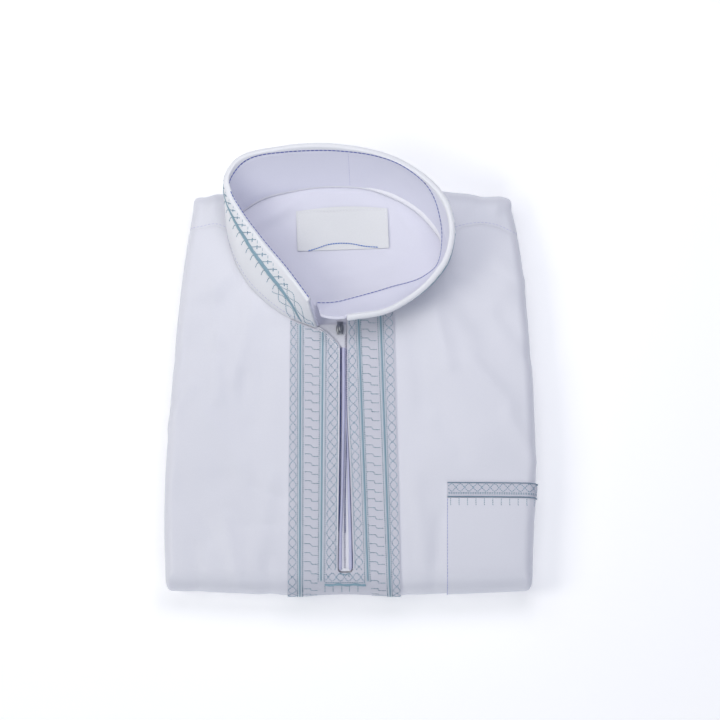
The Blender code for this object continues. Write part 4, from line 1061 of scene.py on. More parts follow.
def stitch_tree():
    """Geometry Nodes: lays one plump stitch along every edge, tilted to the cloth that it is sewn to."""
    tree = bpy.data.node_groups.new("lay_stitches", "GeometryNodeTree")
    for name, kind, value in (("Geometry", "Geometry", None), ("Height", "Float", 0.6),
                              ("Unevenness", "Float", 0.12), ("Seed", "Int", 7),
                              ("Thread", "Material", None)):
        socket = tree.interface.new_socket(name, in_out="INPUT", socket_type="NodeSocket" + kind)
        if value is not None:
            socket.default_value = value
    tree.interface.new_socket("Geometry", in_out="OUTPUT", socket_type="NodeSocketGeometry")

    def maths(operation, *values):
        return node(tree, "ShaderNodeMath", *values, operation=operation).outputs["Value"]

    def named(name, kind):
        return node(tree, "GeometryNodeInputNamedAttribute", data_type=kind, Name=name).outputs["Attribute"]

    start = node(tree, "NodeGroupInput").outputs
    ends = node(tree, "GeometryNodeInputMeshEdgeVertices").outputs
    way = node(tree, "ShaderNodeVectorMath", ends["Position 2"], ends["Position 1"],
               operation="SUBTRACT").outputs["Vector"]
    keep = node(tree, "GeometryNodeCaptureAttribute", domain="EDGE", Geometry=start["Geometry"])
    for name, kind in (("Turn", "ROTATION"), ("Length", "FLOAT"), ("Wide", "FLOAT")):
        keep.capture_items.new(kind, name)
    feed(keep.inputs["Turn"], node(tree, "FunctionNodeAxesToRotation", primary_axis="X", secondary_axis="Z",
                                   Primary_Axis=way,
                                   Secondary_Axis=named("up", "FLOAT_VECTOR")).outputs["Rotation"])
    feed(keep.inputs["Length"], node(tree, "ShaderNodeVectorMath", way, operation="LENGTH").outputs["Value"])
    feed(keep.inputs["Wide"], named("wide", "FLOAT"))
    points = node(tree, "GeometryNodeMeshToPoints", mode="EDGES", Mesh=keep.outputs["Geometry"])
    uneven = node(tree, "FunctionNodeRandomValue", data_type="FLOAT",
                  Min=maths("SUBTRACT", 1.0, start["Unevenness"]),
                  Max=maths("ADD", 1.0, start["Unevenness"]), Seed=start["Seed"]).outputs["Value"]
    width = maths("MULTIPLY", keep.outputs["Wide"], uneven)
    size = node(tree, "ShaderNodeCombineXYZ", keep.outputs["Length"], width,
                maths("MULTIPLY", width, start["Height"]))
    shape = node(tree, "GeometryNodeMeshUVSphere", Segments=6, Rings=4, Radius=0.5)
    lying = node(tree, "GeometryNodeTransform", Geometry=shape.outputs["Mesh"],
                 Rotation=(0.0, math.pi / 2, 0.0))
    laid = node(tree, "GeometryNodeInstanceOnPoints", Points=points.outputs["Points"],
                Instance=lying.outputs["Geometry"], Rotation=keep.outputs["Turn"],
                Scale=size.outputs["Vector"])
    real = node(tree, "GeometryNodeRealizeInstances", Geometry=laid.outputs["Instances"])
    soft = node(tree, "GeometryNodeSetShadeSmooth", Geometry=real.outputs["Geometry"])
    dyed = node(tree, "GeometryNodeSetMaterial", Geometry=soft.outputs["Geometry"], Material=start["Thread"])
    node(tree, "NodeGroupOutput", Geometry=dyed.outputs["Geometry"])
    return tree


STITCH_TREE = stitch_tree()
STITCH_INPUTS = {item.name: item.identifier for item in STITCH_TREE.interface.items_tree
                 if item.in_out == "INPUT"}
LOWEST_STITCH = 0.5      # a stitch's middle stays this high over the floor


class Sewing:
    """Collects stitches on a surface, a function of two flat coordinates and a lift."""

    def __init__(self, surface=cloth):
        self.surface = surface
        self.stitches = []

    def stitch(self, start, end, lift, width):
        first, last = Vector(self.surface(*start, lift)), Vector(self.surface(*end, lift))
        raised = Vector(self.surface((start[0] + end[0]) / 2, (start[1] + end[1]) / 2, lift + 1.0))
        up = (raised - (first + last) / 2).normalized()
        first.z, last.z = max(first.z, LOWEST_STITCH), max(last.z, LOWEST_STITCH)
        self.stitches.append((first, last, up, width))

    def line(self, spots, lift, width, length, gap, keep=None):
        """A running line of stitches through flat places."""
        run = run_lengths(spots)
        count = max(1, round((run[-1] + gap) / (length + gap)))
        pitch = (run[-1] + gap) / count

        def spot(at):
            return tuple(float(np.interp(at, run, [s[k] for s in spots])) for k in (0, 1))

        for k in range(count):
            start, end = spot(k * pitch), spot(k * pitch + pitch - gap)
            if keep is None or keep((start[0] + end[0]) / 2, (start[1] + end[1]) / 2):
                self.stitch(start, end, lift, width)

    def make(self, name, look, slot, height=0.6, unevenness=0.12, seed=7):
        mesh = bpy.data.meshes.new(name + "_lines")
        mesh.from_pydata([in_frame(*end) for stitch in self.stitches for end in stitch[:2]],
                         [(2 * k, 2 * k + 1) for k in range(len(self.stitches))], [])
        up = mesh.attributes.new("up", "FLOAT_VECTOR", "POINT")
        up.data.foreach_set("vector", [c for _, _, way, _ in self.stitches for _ in range(2) for c in way])
        wide = mesh.attributes.new("wide", "FLOAT", "POINT")
        wide.data.foreach_set("value", [w * MM for _, _, _, w in self.stitches for _ in range(2)])
        lines = add_object(name + "_lines", mesh)
        sewn = lines.modifiers.new("stitches", "NODES")
        sewn.node_group = STITCH_TREE
        for key, value in (("Height", height), ("Unevenness", unevenness), ("Seed", seed), ("Thread", look)):
            sewn[STITCH_INPUTS[key]] = value
        graph = bpy.context.evaluated_depsgraph_get()
        plain = bpy.data.meshes.new_from_object(lines.evaluated_get(graph))
        bpy.data.objects.remove(lines, do_unlink=True)
        plain.name = name
        return add_piece(name, plain)


CORD_UNDER = 0.12        # how far a couched cord reaches into the cloth


def make_cords(name, paths, look, stands_for=None, surface=cloth, sides=8):
    """Couched cords: half-sunk tubes along paths of (flat place, flat place, lift, half width, rise)."""
    bm = bmesh.new()
    for path in paths:
        rings, heres = [], []
        for k, (a, b, lift, half, rise) in enumerate(path):
            behind, ahead = path[max(k - 1, 0)], path[min(k + 1, len(path) - 1)]
            here = Vector(surface(a, b, lift))
            up = (Vector(surface(a, b, lift + 1.0)) - here).normalized()
            forward = (Vector(surface(*ahead[:2], lift)) - Vector(surface(*behind[:2], lift))).normalized()
            side = forward.cross(up).normalized()
            rings.append([bm.verts.new(here + side * half * math.cos(turn)
                                       + up * ((rise if turn < math.pi else CORD_UNDER) * math.sin(turn)))
                          for turn in (2 * math.pi * s / sides for s in range(sides))])
            heres.append(here)
        runs = [0.0]
        for before, here in zip(heres, heres[1:]):
            runs.append(runs[-1] + (here - before).length)
        skin(bm, rings, lambda ring, i: (runs[ring], i * 0.4))
    return finish_mesh(name, bm, look, stands_for)


# ---------------------------------------------------------------- placket

SEWN = STRIP_FACE + 0.06    # lift of the stitches on a placket strip
LATTICE_PITCH = 6.1
RUNG_PITCH = 5.7
RUNG_STEP = 1.7             # how much lower the outer half of a rung lies
RUNGS_FROM, CROSSINGS_FROM = 42.8, 42.0
# A corded band: columns from and to, foot, and the shares of its width for its dotted lines and two cords.
CORDED_BANDS = (
    (INNER_CORD_FROM, INNER_CORD_TO, INNER_CORD_END, (0.08, 0.95), 0.58, 0.28),
    (OUTER_CORD_FROM, OUTER_CORD_TO, STRIP_FOOT, (0.18, 0.95), 0.60, 0.38),
)
SATIN_HALF, PALE_HALF, FILLING_HALF = 0.56, 0.42, 1.5
FILLING_SHARE, FILLING_RISE = 0.56, 0.16


def spread(start, end, count):
    return [float(value) for value in np.linspace(start, end, count)]


def strip_column(strip, index, along):
    high, low = strip[index]
    return high + (low - high) * (STRIP_HIGH - along) / (STRIP_HIGH - STRIP_LOW)


def strip_top(x, side):
    """Upper end of a placket strip, close under the collar and along the turned-back corner."""
    clear = COLLAR_CLEARANCE[side]
    if side == "right" or x < NECK_LINE[0][0]:
        return neck_y(x, side) - clear
    return front_top(x) - clear * (1 - 0.75 * smoothstep(NECK_LINE[0][0], -15.0, x))


def make_strip(name, strip, side, stands_for):
    """Strip of cloth under the embroidery, from the slit's edge outwards; the two meet below the slit."""
    rows = []
    for row in BODY_ROWS:
        line = []
        for share in fine([0.0, 1.0], 26):
            anchor = strip[EDGE][0] + (strip[HEM][0] - strip[EDGE][0]) * share
            along = row_along(anchor, row, strip_top(anchor, side))
            apart = 0.35 if along > SLIT_END else 0.0
            inner = slit_edge(along, side) + (-apart if side == "left" else apart)
            line.append((inner + (strip_column(strip, HEM, along) - inner) * share, along))
        rows.append(line)
    return cloth_wall(name, rows, SEWN_GAP, STRIP_CLOTH, strip_look, stands_for)


def sway(turn, softness):
    """Goes from -1 to 1 and back while turn goes up by 2; soft at its turning points."""
    straight = abs((turn % 2.0) * 2 - 2) - 1
    return straight * (1 - softness) + math.sin(math.pi / 2 * straight) * softness


def lattice(sewing, near, far, high, low, pitch, strands, softness, keep=None, lift=SEWN):
    """Strands that sway between two edges and cross in a net of eyes, one pitch long each."""
    reach = pitch * strands / 2
    for strand in range(strands):
        spots, along = [], high
        while along > low:
            turn = (high - along) / reach + strand * pitch / reach
            middle, half = (near(along) + far(along)) / 2, (far(along) - near(along)) / 2
            spots.append((middle + half * sway(turn, softness), along))
            along -= 0.5
        sewing.line(spots, lift, 0.6, 1.0, 0.3, keep)


def straight_down(across, high, low, step=2.0):
    count = max(2, round((high - low) / step))
    return [(across(high + (low - high) * k / count), high + (low - high) * k / count)
            for k in range(count + 1)]


def sew_strip(name, strip, side, strands):
    """Embroidery of one strip: inner net, corded band, ladder of broken rungs, corded band and outer net."""
    lines, nets, dots = Sewing(), Sewing(), Sewing()
    sign = -1 if side == "left" else 1

    def below_top(across, along):
        return along < strip_top(across, side) - 0.5

    def on_strip(across, along):
        edge = abs(slit_edge(along, side) - SLIT_MIDDLE)
        return below_top(across, along) and abs(across - SLIT_MIDDLE) > (edge + 0.8 if edge > 0 else 0.0)

    def column(index, off):
        return lambda along: strip_column(strip, index, along) + sign * off

    def within(first, last, share):
        def across(along):
            a, b = strip_column(strip, first, along), strip_column(strip, last, along)
            return a + (b - a) * share
        return across

    def slit_side(along):
        return slit_edge(along, side) + sign * 1.2 if along > SLIT_END else SLIT_MIDDLE

    lattice(nets, slit_side, column(INNER_CORD_FROM, -0.5), CROSSINGS_FROM, SLIT_END + 1.5, LATTICE_PITCH,
            strands, 0.5, on_strip)
    lattice(nets, column(OUTER_CORD_TO, 0.5), column(HEM, -0.4), CROSSINGS_FROM, STRIP_FOOT, LATTICE_PITCH,
            2, 0.8, below_top)
    left, right = (column(INNER_CORD_TO, 0.3), column(OUTER_CORD_FROM, -0.3))[::sign]
    rung = RUNGS_FROM
    while rung > STRIP_FOOT:
        start, width = left(rung), right(rung) - left(rung)
        lines.line([(start + width * k / 36, rung + 0.22 * math.sin(k * 0.95 + rung)
                     - RUNG_STEP * smoothstep(0.47, 0.53, k / 36)) for k in range(37)], SEWN, 0.62, 0.75, 0.3,
                   below_top)
        rung -= RUNG_PITCH
    cords = {"satin": [], "pale_cords": [], "filling": []}
    for first, last, low, dotted, satin, pale in CORDED_BANDS:
        for share in dotted:
            dots.line(straight_down(within(first, last, share), CROSSINGS_FROM, low), STRIP_FACE + 0.22,
                      0.62, 0.7, 0.6, below_top)
        for key, share, half in (("satin", satin, SATIN_HALF), ("pale_cords", pale, PALE_HALF),
                                 ("filling", FILLING_SHARE, FILLING_HALF)):
            across = within(first, last, share)
            start = strip_top(across(10.0), side) - 0.3
            path = []
            for a, b in straight_down(across, start, low, 1.2):
                taper = smoothstep(low - 0.01, low + 1.0, b) * smoothstep(start + 0.01, start - 1.0, b)
                rise = FILLING_RISE if key == "filling" else (0.15 + 0.45 * taper) * (half + 0.3)
                path.append((a, b, STRIP_FACE, half * (0.4 + 0.6 * taper), rise))
            cords[key].append(path)
    for key, look in (("satin", cord_look), ("pale_cords", pale_cord_look), ("filling", filling_look)):
        make_cords(name + "_" + key, cords[key], look)
    lines.line(straight_down(slit_side, 12.0, SLIT_END + 2.8), SEWN, 0.6, 0.6, 0.5, below_top)
    lines.make(name + "_lines", teal_look, "teal_thread", unevenness=0.3, seed=11)
    dots.make(name + "_dotted_lines", dark_teal_look, "teal_thread", unevenness=0.35, seed=14)
    nets.make(name + "_nets", fine_teal_look, "teal_thread", unevenness=0.35, seed=12)


EYE_PITCH = 5.1          # eyes of the net between the slit's end and the bar
BAR_STEPS = 43
BAR_TICKS = (-16.0, -10.9, -5.4, -0.6, 4.7)


def make_bar():
    """Couched bar under the zip, a line of stitches over it and ticks below."""
    cord = []
    for k, across in enumerate(spread(BAR_FROM, BAR_TO, BAR_STEPS + 1)):
        plump = 0.6 + 0.34 * abs(math.sin(math.pi * k / BAR_STEPS * 4.5))
        cord.append((across, BAR_ALONG + 0.3 * math.sin(across * 0.62), STRIP_FACE, plump, 0.9))
    make_cords("placket_bar_cord", [cord], cord_look, "placket_bar")
    sewing, eyes = Sewing(), Sewing(turned_cloth)
    sewing.line([(BAR_FROM + 0.4, BAR_ALONG + 1.5), (BAR_TO - 0.2, BAR_ALONG + 1.5)], SEWN, 0.5, 1.3, 0.2)
    for across in BAR_TICKS:
        sewing.line([(across, BAR_ALONG - 0.8), (across, BAR_ALONG - 6.2)], SEWN, 0.55, 1.2, 0.2)
    sewing.line([(-7.0, SLIT_END - 0.4), (-3.6, SLIT_END - 0.9), (0.2, SLIT_END - 0.4)], STRIP_FACE + 0.1,
                0.7, 1.6, 0.1)
    lattice(eyes, lambda at: -(BAR_ALONG + 2.3), lambda at: -(SLIT_END + 0.2), BAR_TO - 0.6, BAR_FROM + 0.6,
            EYE_PITCH, 2, 0.6)
    eyes.make("placket_foot_net", fine_teal_look, "teal_thread", unevenness=0.35, seed=15)
    sewing.line([(-1.4, SLIT_END - 0.9), (-0.6, SLIT_END - 2.4)], STRIP_FACE + 0.1, 0.6, 1.6, 0.1)
    sewing.make("placket_bar_stitches", teal_look, "teal_thread", seed=13)


# ---------------------------------------------------------------- zip

# along, left edge, right edge
LEFT_WELT = ((14.0, -5.5, -3.3), (-20.0, -5.5, -3.2), (-60.0, -5.8, -3.9), (-85.0, -6.3, -4.5),
             (-105.0, -7.2, -5.2), (-127.0, -7.5, -5.4))
RIGHT_WELT = ((14.0, -2.9, -2.5), (-20.0, -2.9, -2.4), (-60.0, -2.1, -0.7), (-85.0, -1.8, 0.1),
              (-105.0, -1.2, 0.8), (-127.0, -1.1, 1.2))
left_welt_line = Table(LEFT_WELT)
coil_line = Table(((22.0, -3.0), (-20.0, -2.9), (-60.0, -3.3), (-85.0, -3.7), (-127.0, -3.6)))
WELT_TOP, COIL_TOP, COIL_PITCH = 14.0, 22.0, 1.05
ACROSS_ZIP = 8           # faces across the tape and each welt


def zip_sides(along):
    """Edges of the tape: under the slit's edges, and above the slit under the pulled-back corner."""
    left, right = slit_edge(along, "left"), slit_edge(along, "right") - SEAM_GAP
    if along > SLIT_TOP:
        corner_x, corner_y = NECK_LINE[0]
        down = max((corner_y - along) / (corner_y - SLIT_TOP), 0.0)
        left = corner_x + (SLIT_LEFT - corner_x) * down**(1 / CORNER_SWEEP)
    return left_welt_line(along) + 0.3 if along < SLIT_TOP else left + SEAM_GAP, right


def make_welt(name, table, stands_for, height):
    near, far = Table(table, 1), Table(table, 2)
    rows = []
    for along in spread(WELT_TOP, SLIT_END + 1.6, 120):
        a, b = near(along), far(along)
        turned = smoothstep(SLIT_END + 3.0, SLIT_END + 1.4, along) * 0.35 * (b - a)
        rows.append([(a + turned + (b - a - 2 * turned) * s / ACROSS_ZIP, along)
                     for s in range(ACROSS_ZIP + 1)])
    over = [[cloth(a, b, -CAD_CLOTH + 0.8 + height * math.sin(math.pi * i / ACROSS_ZIP)**0.7)
             for i, (a, b) in enumerate(row)] for row in rows]
    bm = bmesh.new()
    add_wall(bm, over, lay(rows, -CAD_CLOTH + 0.1), rows)
    finish_mesh(name, bm, welt_shaded_look, stands_for)


def make_zip():
    """Zip behind the slit: woven tape, coil teeth and two rolled welts, the right one hidden higher up."""
    tape = []
    for along in spread(29.0, SLIT_TOP, 12) + spread(WELT_TOP, SLIT_END + 1.0, 130):
        left, right = zip_sides(along)
        drawn_in = 0.8 * smoothstep(SLIT_END + SLIT_CORNER + 0.6, SLIT_END + 1.0, along)
        tape.append([(left + 0.1 + drawn_in + (right - left - 0.2 - 2 * drawn_in) * s / ACROSS_ZIP, along)
                     for s in range(ACROSS_ZIP + 1)])
    cloth_wall("zip_tape_cloth", tape, -CAD_CLOTH, 0.7, tape_look, "zip_tape")
    make_welt("welt_left_roll", LEFT_WELT, "zip_welt_left", 1.2)
    make_welt("welt_right_roll", RIGHT_WELT, "zip_welt_right", 1.0)

    edge = [(x, front_top(x) - 0.35) for x in spread(NECK_LINE[0][0] + 0.6, -7.2, 24)]
    fold = [(a - 1.1, b - 0.9) for a, b in edge[1:]]
    left_edge = [(slit_edge(along, "left") - 0.5, along) for along in spread(13.5, -112.0, 90)]
    piping = ((edge, 0.42, 0.1), (fold, 0.28, STRIP_FACE), (left_edge, 0.42, STRIP_FACE))
    make_cords("slit_piping", [[(a, b, -0.05 + up, half, half) for a, b in path]
                               for path, half, up in piping],
               piping_look)
    # The indigo lines below are painted shadow: dark lines in the gaps beside the left slit edge, the coil
    # and the right slit edge.
    groove_shadows, coil = Sewing(), Sewing()
    groove_shadows.line([(slit_edge(along, "left") + 0.55, along) for along in spread(WELT_TOP, -103.0, 90)], -0.55,
                 0.95, 1.6, -0.2)
    groove_shadows.line([(coil_line(along) + 0.75 - 0.35 * smoothstep(-40.0, -80.0, along), along)
                  for along in spread(13.0, -104.0, 70)], -0.1, 0.8, 0.95, 0.2)
    groove_shadows.line([(slit_edge(along, "right") - 0.45, along) for along in spread(13.0, SLIT_END + 3.0, 90)],
                 -0.5, 0.7, 1.4, 0.0)
    groove_shadows.make("slit_groove_shadow_lines", groove_shadow_look, "zip_tape", height=0.4, seed=4)
    along = COIL_TOP
    while along > SLIT_END + 3.2:
        for off in (-0.32, 0.32):
            middle, high = coil_line(along) + off, along - off * 0.5
            coil.stitch((middle - 0.4, high), (middle + 0.4, along + 0.25 - off * 0.5), -0.35, 0.46)
        along -= COIL_PITCH
    coil.make("zip_coil_teeth", coil_look, "zip_tape", height=0.7, unevenness=0.03, seed=3)


# off along the zip, half width, height
SLIDER_SECTIONS = ((-4.1, 1.5, 1.1), (-3.0, 2.0, 1.6), (-1.0, 2.3, 1.75), (1.0, 2.3, 1.75), (2.6, 1.7, 1.6),
                   (4.0, 2.1, 1.2))


def make_slider():
    """Metal slider: a waisted body with a raised bridge."""
    x, y = SLIDER_PLACE
    floor = cloth(x, y, 0.0)[2] - 0.15
    bm = bmesh.new()

    def turns(count):
        return [2 * math.pi * k / count for k in range(count)]

    def squared(value):
        return math.copysign(abs(value)**0.6, value)

    skin(bm, [[bm.verts.new((x + half * squared(math.cos(t)), y + off,
                             floor + height / 2 * (1 + squared(math.sin(t))))) for t in turns(12)]
              for off, half, height in SLIDER_SECTIONS])
    bridge = []
    for k in range(9):
        angle = math.pi * k / 8
        centre = Vector((x, y - 2.4 * math.cos(angle), floor + 1.5 + 1.0 * math.sin(angle)))
        out = Vector((0.0, -math.cos(angle), math.sin(angle)))
        bridge.append([bm.verts.new(centre + Vector((0.8 * math.cos(t), 0, 0)) + out * 0.35 * math.sin(t))
                       for t in turns(8)])
    skin(bm, bridge)
    finish_mesh("zip_slider_body", bm, metal_look, "zip_slider")


# ---------------------------------------------------------------- pocket

POCKET_CLOTH, POCKET_BAND_CLOTH = 0.75, 1.05
POCKET_FOLD = math.radians(122)
TICK_PITCH = 5.3
POCKET_NET_PITCH = 5.4
POCKET_NET = (0.8, 6.2)                       # how far below its top edge
POCKET_LINES = ((6.8, 0.55), (7.5, 0.4))      # the same, and width
POCKET_CORDS = ((0.4, 0.34), (9.3, 0.41))     # the same, and half width


def pocket_rows(alongs):
    """Rows of the pocket at levels given as functions of across, from its left edge round the robe's side."""
    rows = []
    for along_of in alongs:
        row = [(side_shift(x, along_of(x)), along_of(x)) for x in fine([POCKET_LEFT, SIDE], 18)]
        edge, along = row[-1]
        rows.append(row + [(edge + SIDE_ROLL * turn, along) for turn in fine([0.0, POCKET_TURN], 12)[1:]])
    return rows


def pocket_net(across, along, lift):
    return cloth(along, POCKET_TOP - across, lift)


def make_pocket():
    body_alongs = [lambda x, share=k / 14: (POCKET_LOW - 0.1) + (front_line(x) - POCKET_LOW + 0.1) * share
                   for k in range(15)]
    body_alongs += [lambda x, angle=POCKET_FOLD * k / 12: front_line(x) - front_roll(x) * angle
                    for k in range(1, 13)]
    band_alongs = [lambda x, down=POCKET_BAND * k / 12: POCKET_TOP - down for k in range(13)]
    body = cloth_wall("pocket_cloth", pocket_rows(body_alongs), SEWN_GAP, POCKET_CLOTH, body_look,
                      "pocket")
    top_band = cloth_wall("pocket_band_cloth", pocket_rows(band_alongs), SEWN_GAP, POCKET_BAND_CLOTH,
                          strip_look, "pocket_band")
    face = SEWN_GAP + POCKET_BAND_CLOTH
    start, end = POCKET_LEFT + 0.8, side_shift(SIDE, POCKET_TOP) + SIDE_ROLL * POCKET_TURN * 0.96
    net, lines, seam = Sewing(pocket_net), Sewing(), Sewing()
    lattice(net, lambda at: POCKET_NET[0], lambda at: POCKET_NET[1], end, start, POCKET_NET_PITCH, 2, 0.25,
            lift=face + 0.06)
    net.make("pocket_net", fine_teal_look, "teal_thread", seed=22)
    for down, width in POCKET_LINES:
        lines.line([(start, POCKET_TOP - down), (end, POCKET_TOP - down)], face + 0.05, width, 1.2, 0.3)
    across = start + 1.5
    while across < end:
        lines.line([(across + 0.25 * math.sin(k * 2.1), POCKET_LOW - 0.5 - 0.62 * k) for k in range(8)],
                   0.85, 0.5, 0.9, 0.3)
        across += TICK_PITCH
    make_cords("pocket_cords", [[(a, POCKET_TOP - down, face - 0.05, half, 0.7)
                                 for a in spread(start - 0.5, end, 60)] for down, half in POCKET_CORDS],
               dark_cord_look)
    lines.make("pocket_stitches", teal_look, "teal_thread", seed=21)
    # A blue line of stitches along the pocket's left seam; its blue paints the shadow line of the folded
    # edge.
    seam.line([(POCKET_LEFT + 0.35, POCKET_LOW - 0.5), (POCKET_LEFT + 0.35, front_line(POCKET_LEFT) - 26.0)],
              0.84, 0.42, 1.9, 0.12)
    seam.make("pocket_seam_shadow_line", pocket_seam_shadow_look, "body_cloth", seed=23)
    return body, top_band


# ---------------------------------------------------------------- label and seams

LABEL_COLUMNS, LABEL_ROWS = 48, 24
LABEL_FACE = 1.05        # lift of the label's face over the back
# across from the line's start, rise
label_line = Table(((0.0, 0.6), (6.0, 2.4), (12.0, 4.6), (20.0, 5.6), (27.0, 5.3), (36.0, 3.6), (44.0, 2.9)))
LINE_START = 7.6


def label_lift(x, y, u, v):
    """The label lies on the back, with its free end a little curled and waved."""
    edge = min(u, 1 - u) * (LABEL[1] - LABEL[0])
    curl = 0.5 * math.exp(-edge / 2.0) * (1 - v)
    wave = 0.35 * math.sin(math.pi * 2.3 * u + 0.6) * (1 - v) * v * 3
    return back_lift(x, y) + 0.25 + curl + max(wave, 0.0)


def on_label(x, y, lift):
    return smooth_cloth(x, y, back_lift(x, y) + LABEL_FACE + lift)


def make_label():
    left, right, bottom, top = LABEL
    maps, over, under = [], [], []
    for j in range(LABEL_ROWS + 1):
        v = j / LABEL_ROWS
        row = []
        for u in (i / LABEL_COLUMNS for i in range(LABEL_COLUMNS + 1)):
            x = left + (right - left) * u + 1.0 * (1 - v)
            y = bottom + (top - bottom) * v + LABEL_TILT * (x - left) + 2.2 * math.sin(math.pi * u) * v
            row.append((x, y, label_lift(x, y, u, v)))
        maps.append([(x, y) for x, y, _ in row])
        over.append([smooth_cloth(x, y, lift + 0.5) for x, y, lift in row])
        under.append([smooth_cloth(x, y, lift) for x, y, lift in row])
    bm = bmesh.new()
    add_wall(bm, over, under, maps)
    piece = finish_mesh("label_cloth", bm, label_look, "neck_label")

    line, edges = Sewing(on_label), Sewing(on_label)
    line.line([(left + LINE_START + at, bottom - 0.5 + label_line(at)) for at in spread(0.0, 44.0, 60)], 0.0,
              0.75, 1.6, 0.0)
    line.make("label_blue_line", label_line_look, "label_satin", seed=31)
    for spots in (((left + 1.2, top - 0.4), (right - 0.6, top + 1.6)),
                  ((left + 1.6, top - 0.6), (left + 2.4, bottom + 1.6)),
                  ((right - 1.2, top + 1.2), (right - 0.2, bottom + 3.2))):
        edges.line(spots, -0.05, 0.3, 1.4, 0.7)
    edges.make("label_stitches", tape_look, "label_satin", seed=32)
    return piece


def inside_rim(run, height, lift):
    """On the inner face, and over the rounded edge where the collar's left side leans in."""
    low = max(turned_edge(run) + 0.018, EDGE_FROM)
    angle = math.radians(BLUE_TURN)
    over = band(run, low + (EDGE_TOP - low) * math.sin(angle)**0.8 + lift * math.sin(angle) / BAND_HEIGHT,
                (BAND_OUT + lift) * math.cos(angle))
    t = smoothstep(*BLUE_COMES_DOWN, run / BAND_LENGTH)
    return over * (1 - t) + inside(run, height, lift) * t


def under_edge(run, down, lift):
    """A little below the collar's inner seam."""
    spot = inside(run, 0.0, lift)
    spot[2] -= down
    return spot


def sew_seams():
    """Plain sewing: shoulder seams; the collar's base, back seam and seam strip, whose pale cloth paints the
    light it catches; and the line under its top edge, whose deep blue paints that seam's shadow line.
    """
    plain, base, line, back = Sewing(), Sewing(outside), Sewing(inside_rim), Sewing(inside)
    for x0, x1 in ((-112.0, LEFT_CORNER - 1.0), (RIGHT_CORNER + 1.5, 114.0)):
        plain.line([(x, shoulder_seam(max(min(x, SIDE), -SIDE)) + 1.4) for x in spread(x0, x1, 30)], 0.05,
                   0.32, 1.8, 0.6)
    plain.make("shoulder_stitches", seam_look, "body_cloth", seed=41)
    base.line([(1.0, 3.0), (BAND_LENGTH - 1.0, 3.0)], 0.02, 0.3, 1.8, 0.6)
    base.make("collar_base_stitch", seam_look, "collar_cloth", seed=42)
    # Stitches along the seam under the turned edge; their deep blue paints the shadow line of that seam.
    line.line([(run, blue_line(run / BAND_LENGTH) * BAND_HEIGHT)
               for run in spread(0.6, COLLAR_RUN[-1] - 0.6, 270)],
              0.1, 0.85, 2.6, 0.0)
    line.make("collar_blue_seam_shadow", collar_seam_shadow_look, "inside_cloth", unevenness=0.02, seed=43)
    middle = BAND_LENGTH * 0.508
    back.line([(middle, 1.0), (middle, 26.2)], 0.02, 0.3, 1.6, 0.25)
    back.make("collar_back_seam", seam_look, "inside_cloth", seed=44)
    # A flat seam strip inside the collar's base, in the pale piping cloth: its paleness paints the light it
    # catches.
    edge = []
    for run in spread(26.0, BAND_LENGTH - 20.0, 220):
        at = run / BAND_LENGTH
        full = smoothstep(0.52, 0.60, at) * smoothstep(0.74, 0.70, at)
        edge.append((run, 0.9, -0.35, 1.35 + 0.25 * full, 0.7 + 1.9 * full))
    make_cords("collar_inner_seam_tape", [edge], piping_look, surface=under_edge, sides=12)


# length round the collar, share of its height; and the cord's thickness
collar_cord = Table(((9.0, 0.03), (11.0, 0.17), (13.0, 0.31), (18.5, 0.47), (26.0, 0.57), (34.5, 0.62),
                     (41.0, 0.66), (53.0, 0.71), (64.0, 0.75), (82.0, 0.80), (130.0, 0.76), (262.0, 0.76),
                     (288.0, 0.82), (350.0, 0.80)))
cord_plump = Table(((0.0, 0.6), (12.0, 0.85), (20.0, 1.15), (34.0, 1.45), (58.0, 1.3), (72.0, 1.1),
                    (84.0, 0.7), (110.0, 0.6), (350.0, 0.6)))
MOTIF_PITCH, MOTIFS_FROM = 5.2, 27.5
# One motif: thread, width, and its line of stitches as (length round the collar, height) from the cord.
MOTIF = (
    ("fine", 0.62, ((-0.6, 0.6), (-4.6, 3.7), (-8.6, 6.5))),
    ("fine", 0.8, ((-5.2, 5.2), (-5.75, 3.0))),
    ("faint", 0.42, ((-5.0, 5.7), (-4.5, 7.6))),
    ("fine", 0.5, ((0.6, -1.0), (2.2, -2.1), (3.1, -5.8))),
)
END_NET_FROM, END_NET_SLANT = 25.5, 0.78
END_NETS = ((1.4, 6.8), (-6.8, -1.4))     # heights over the cord, from and to


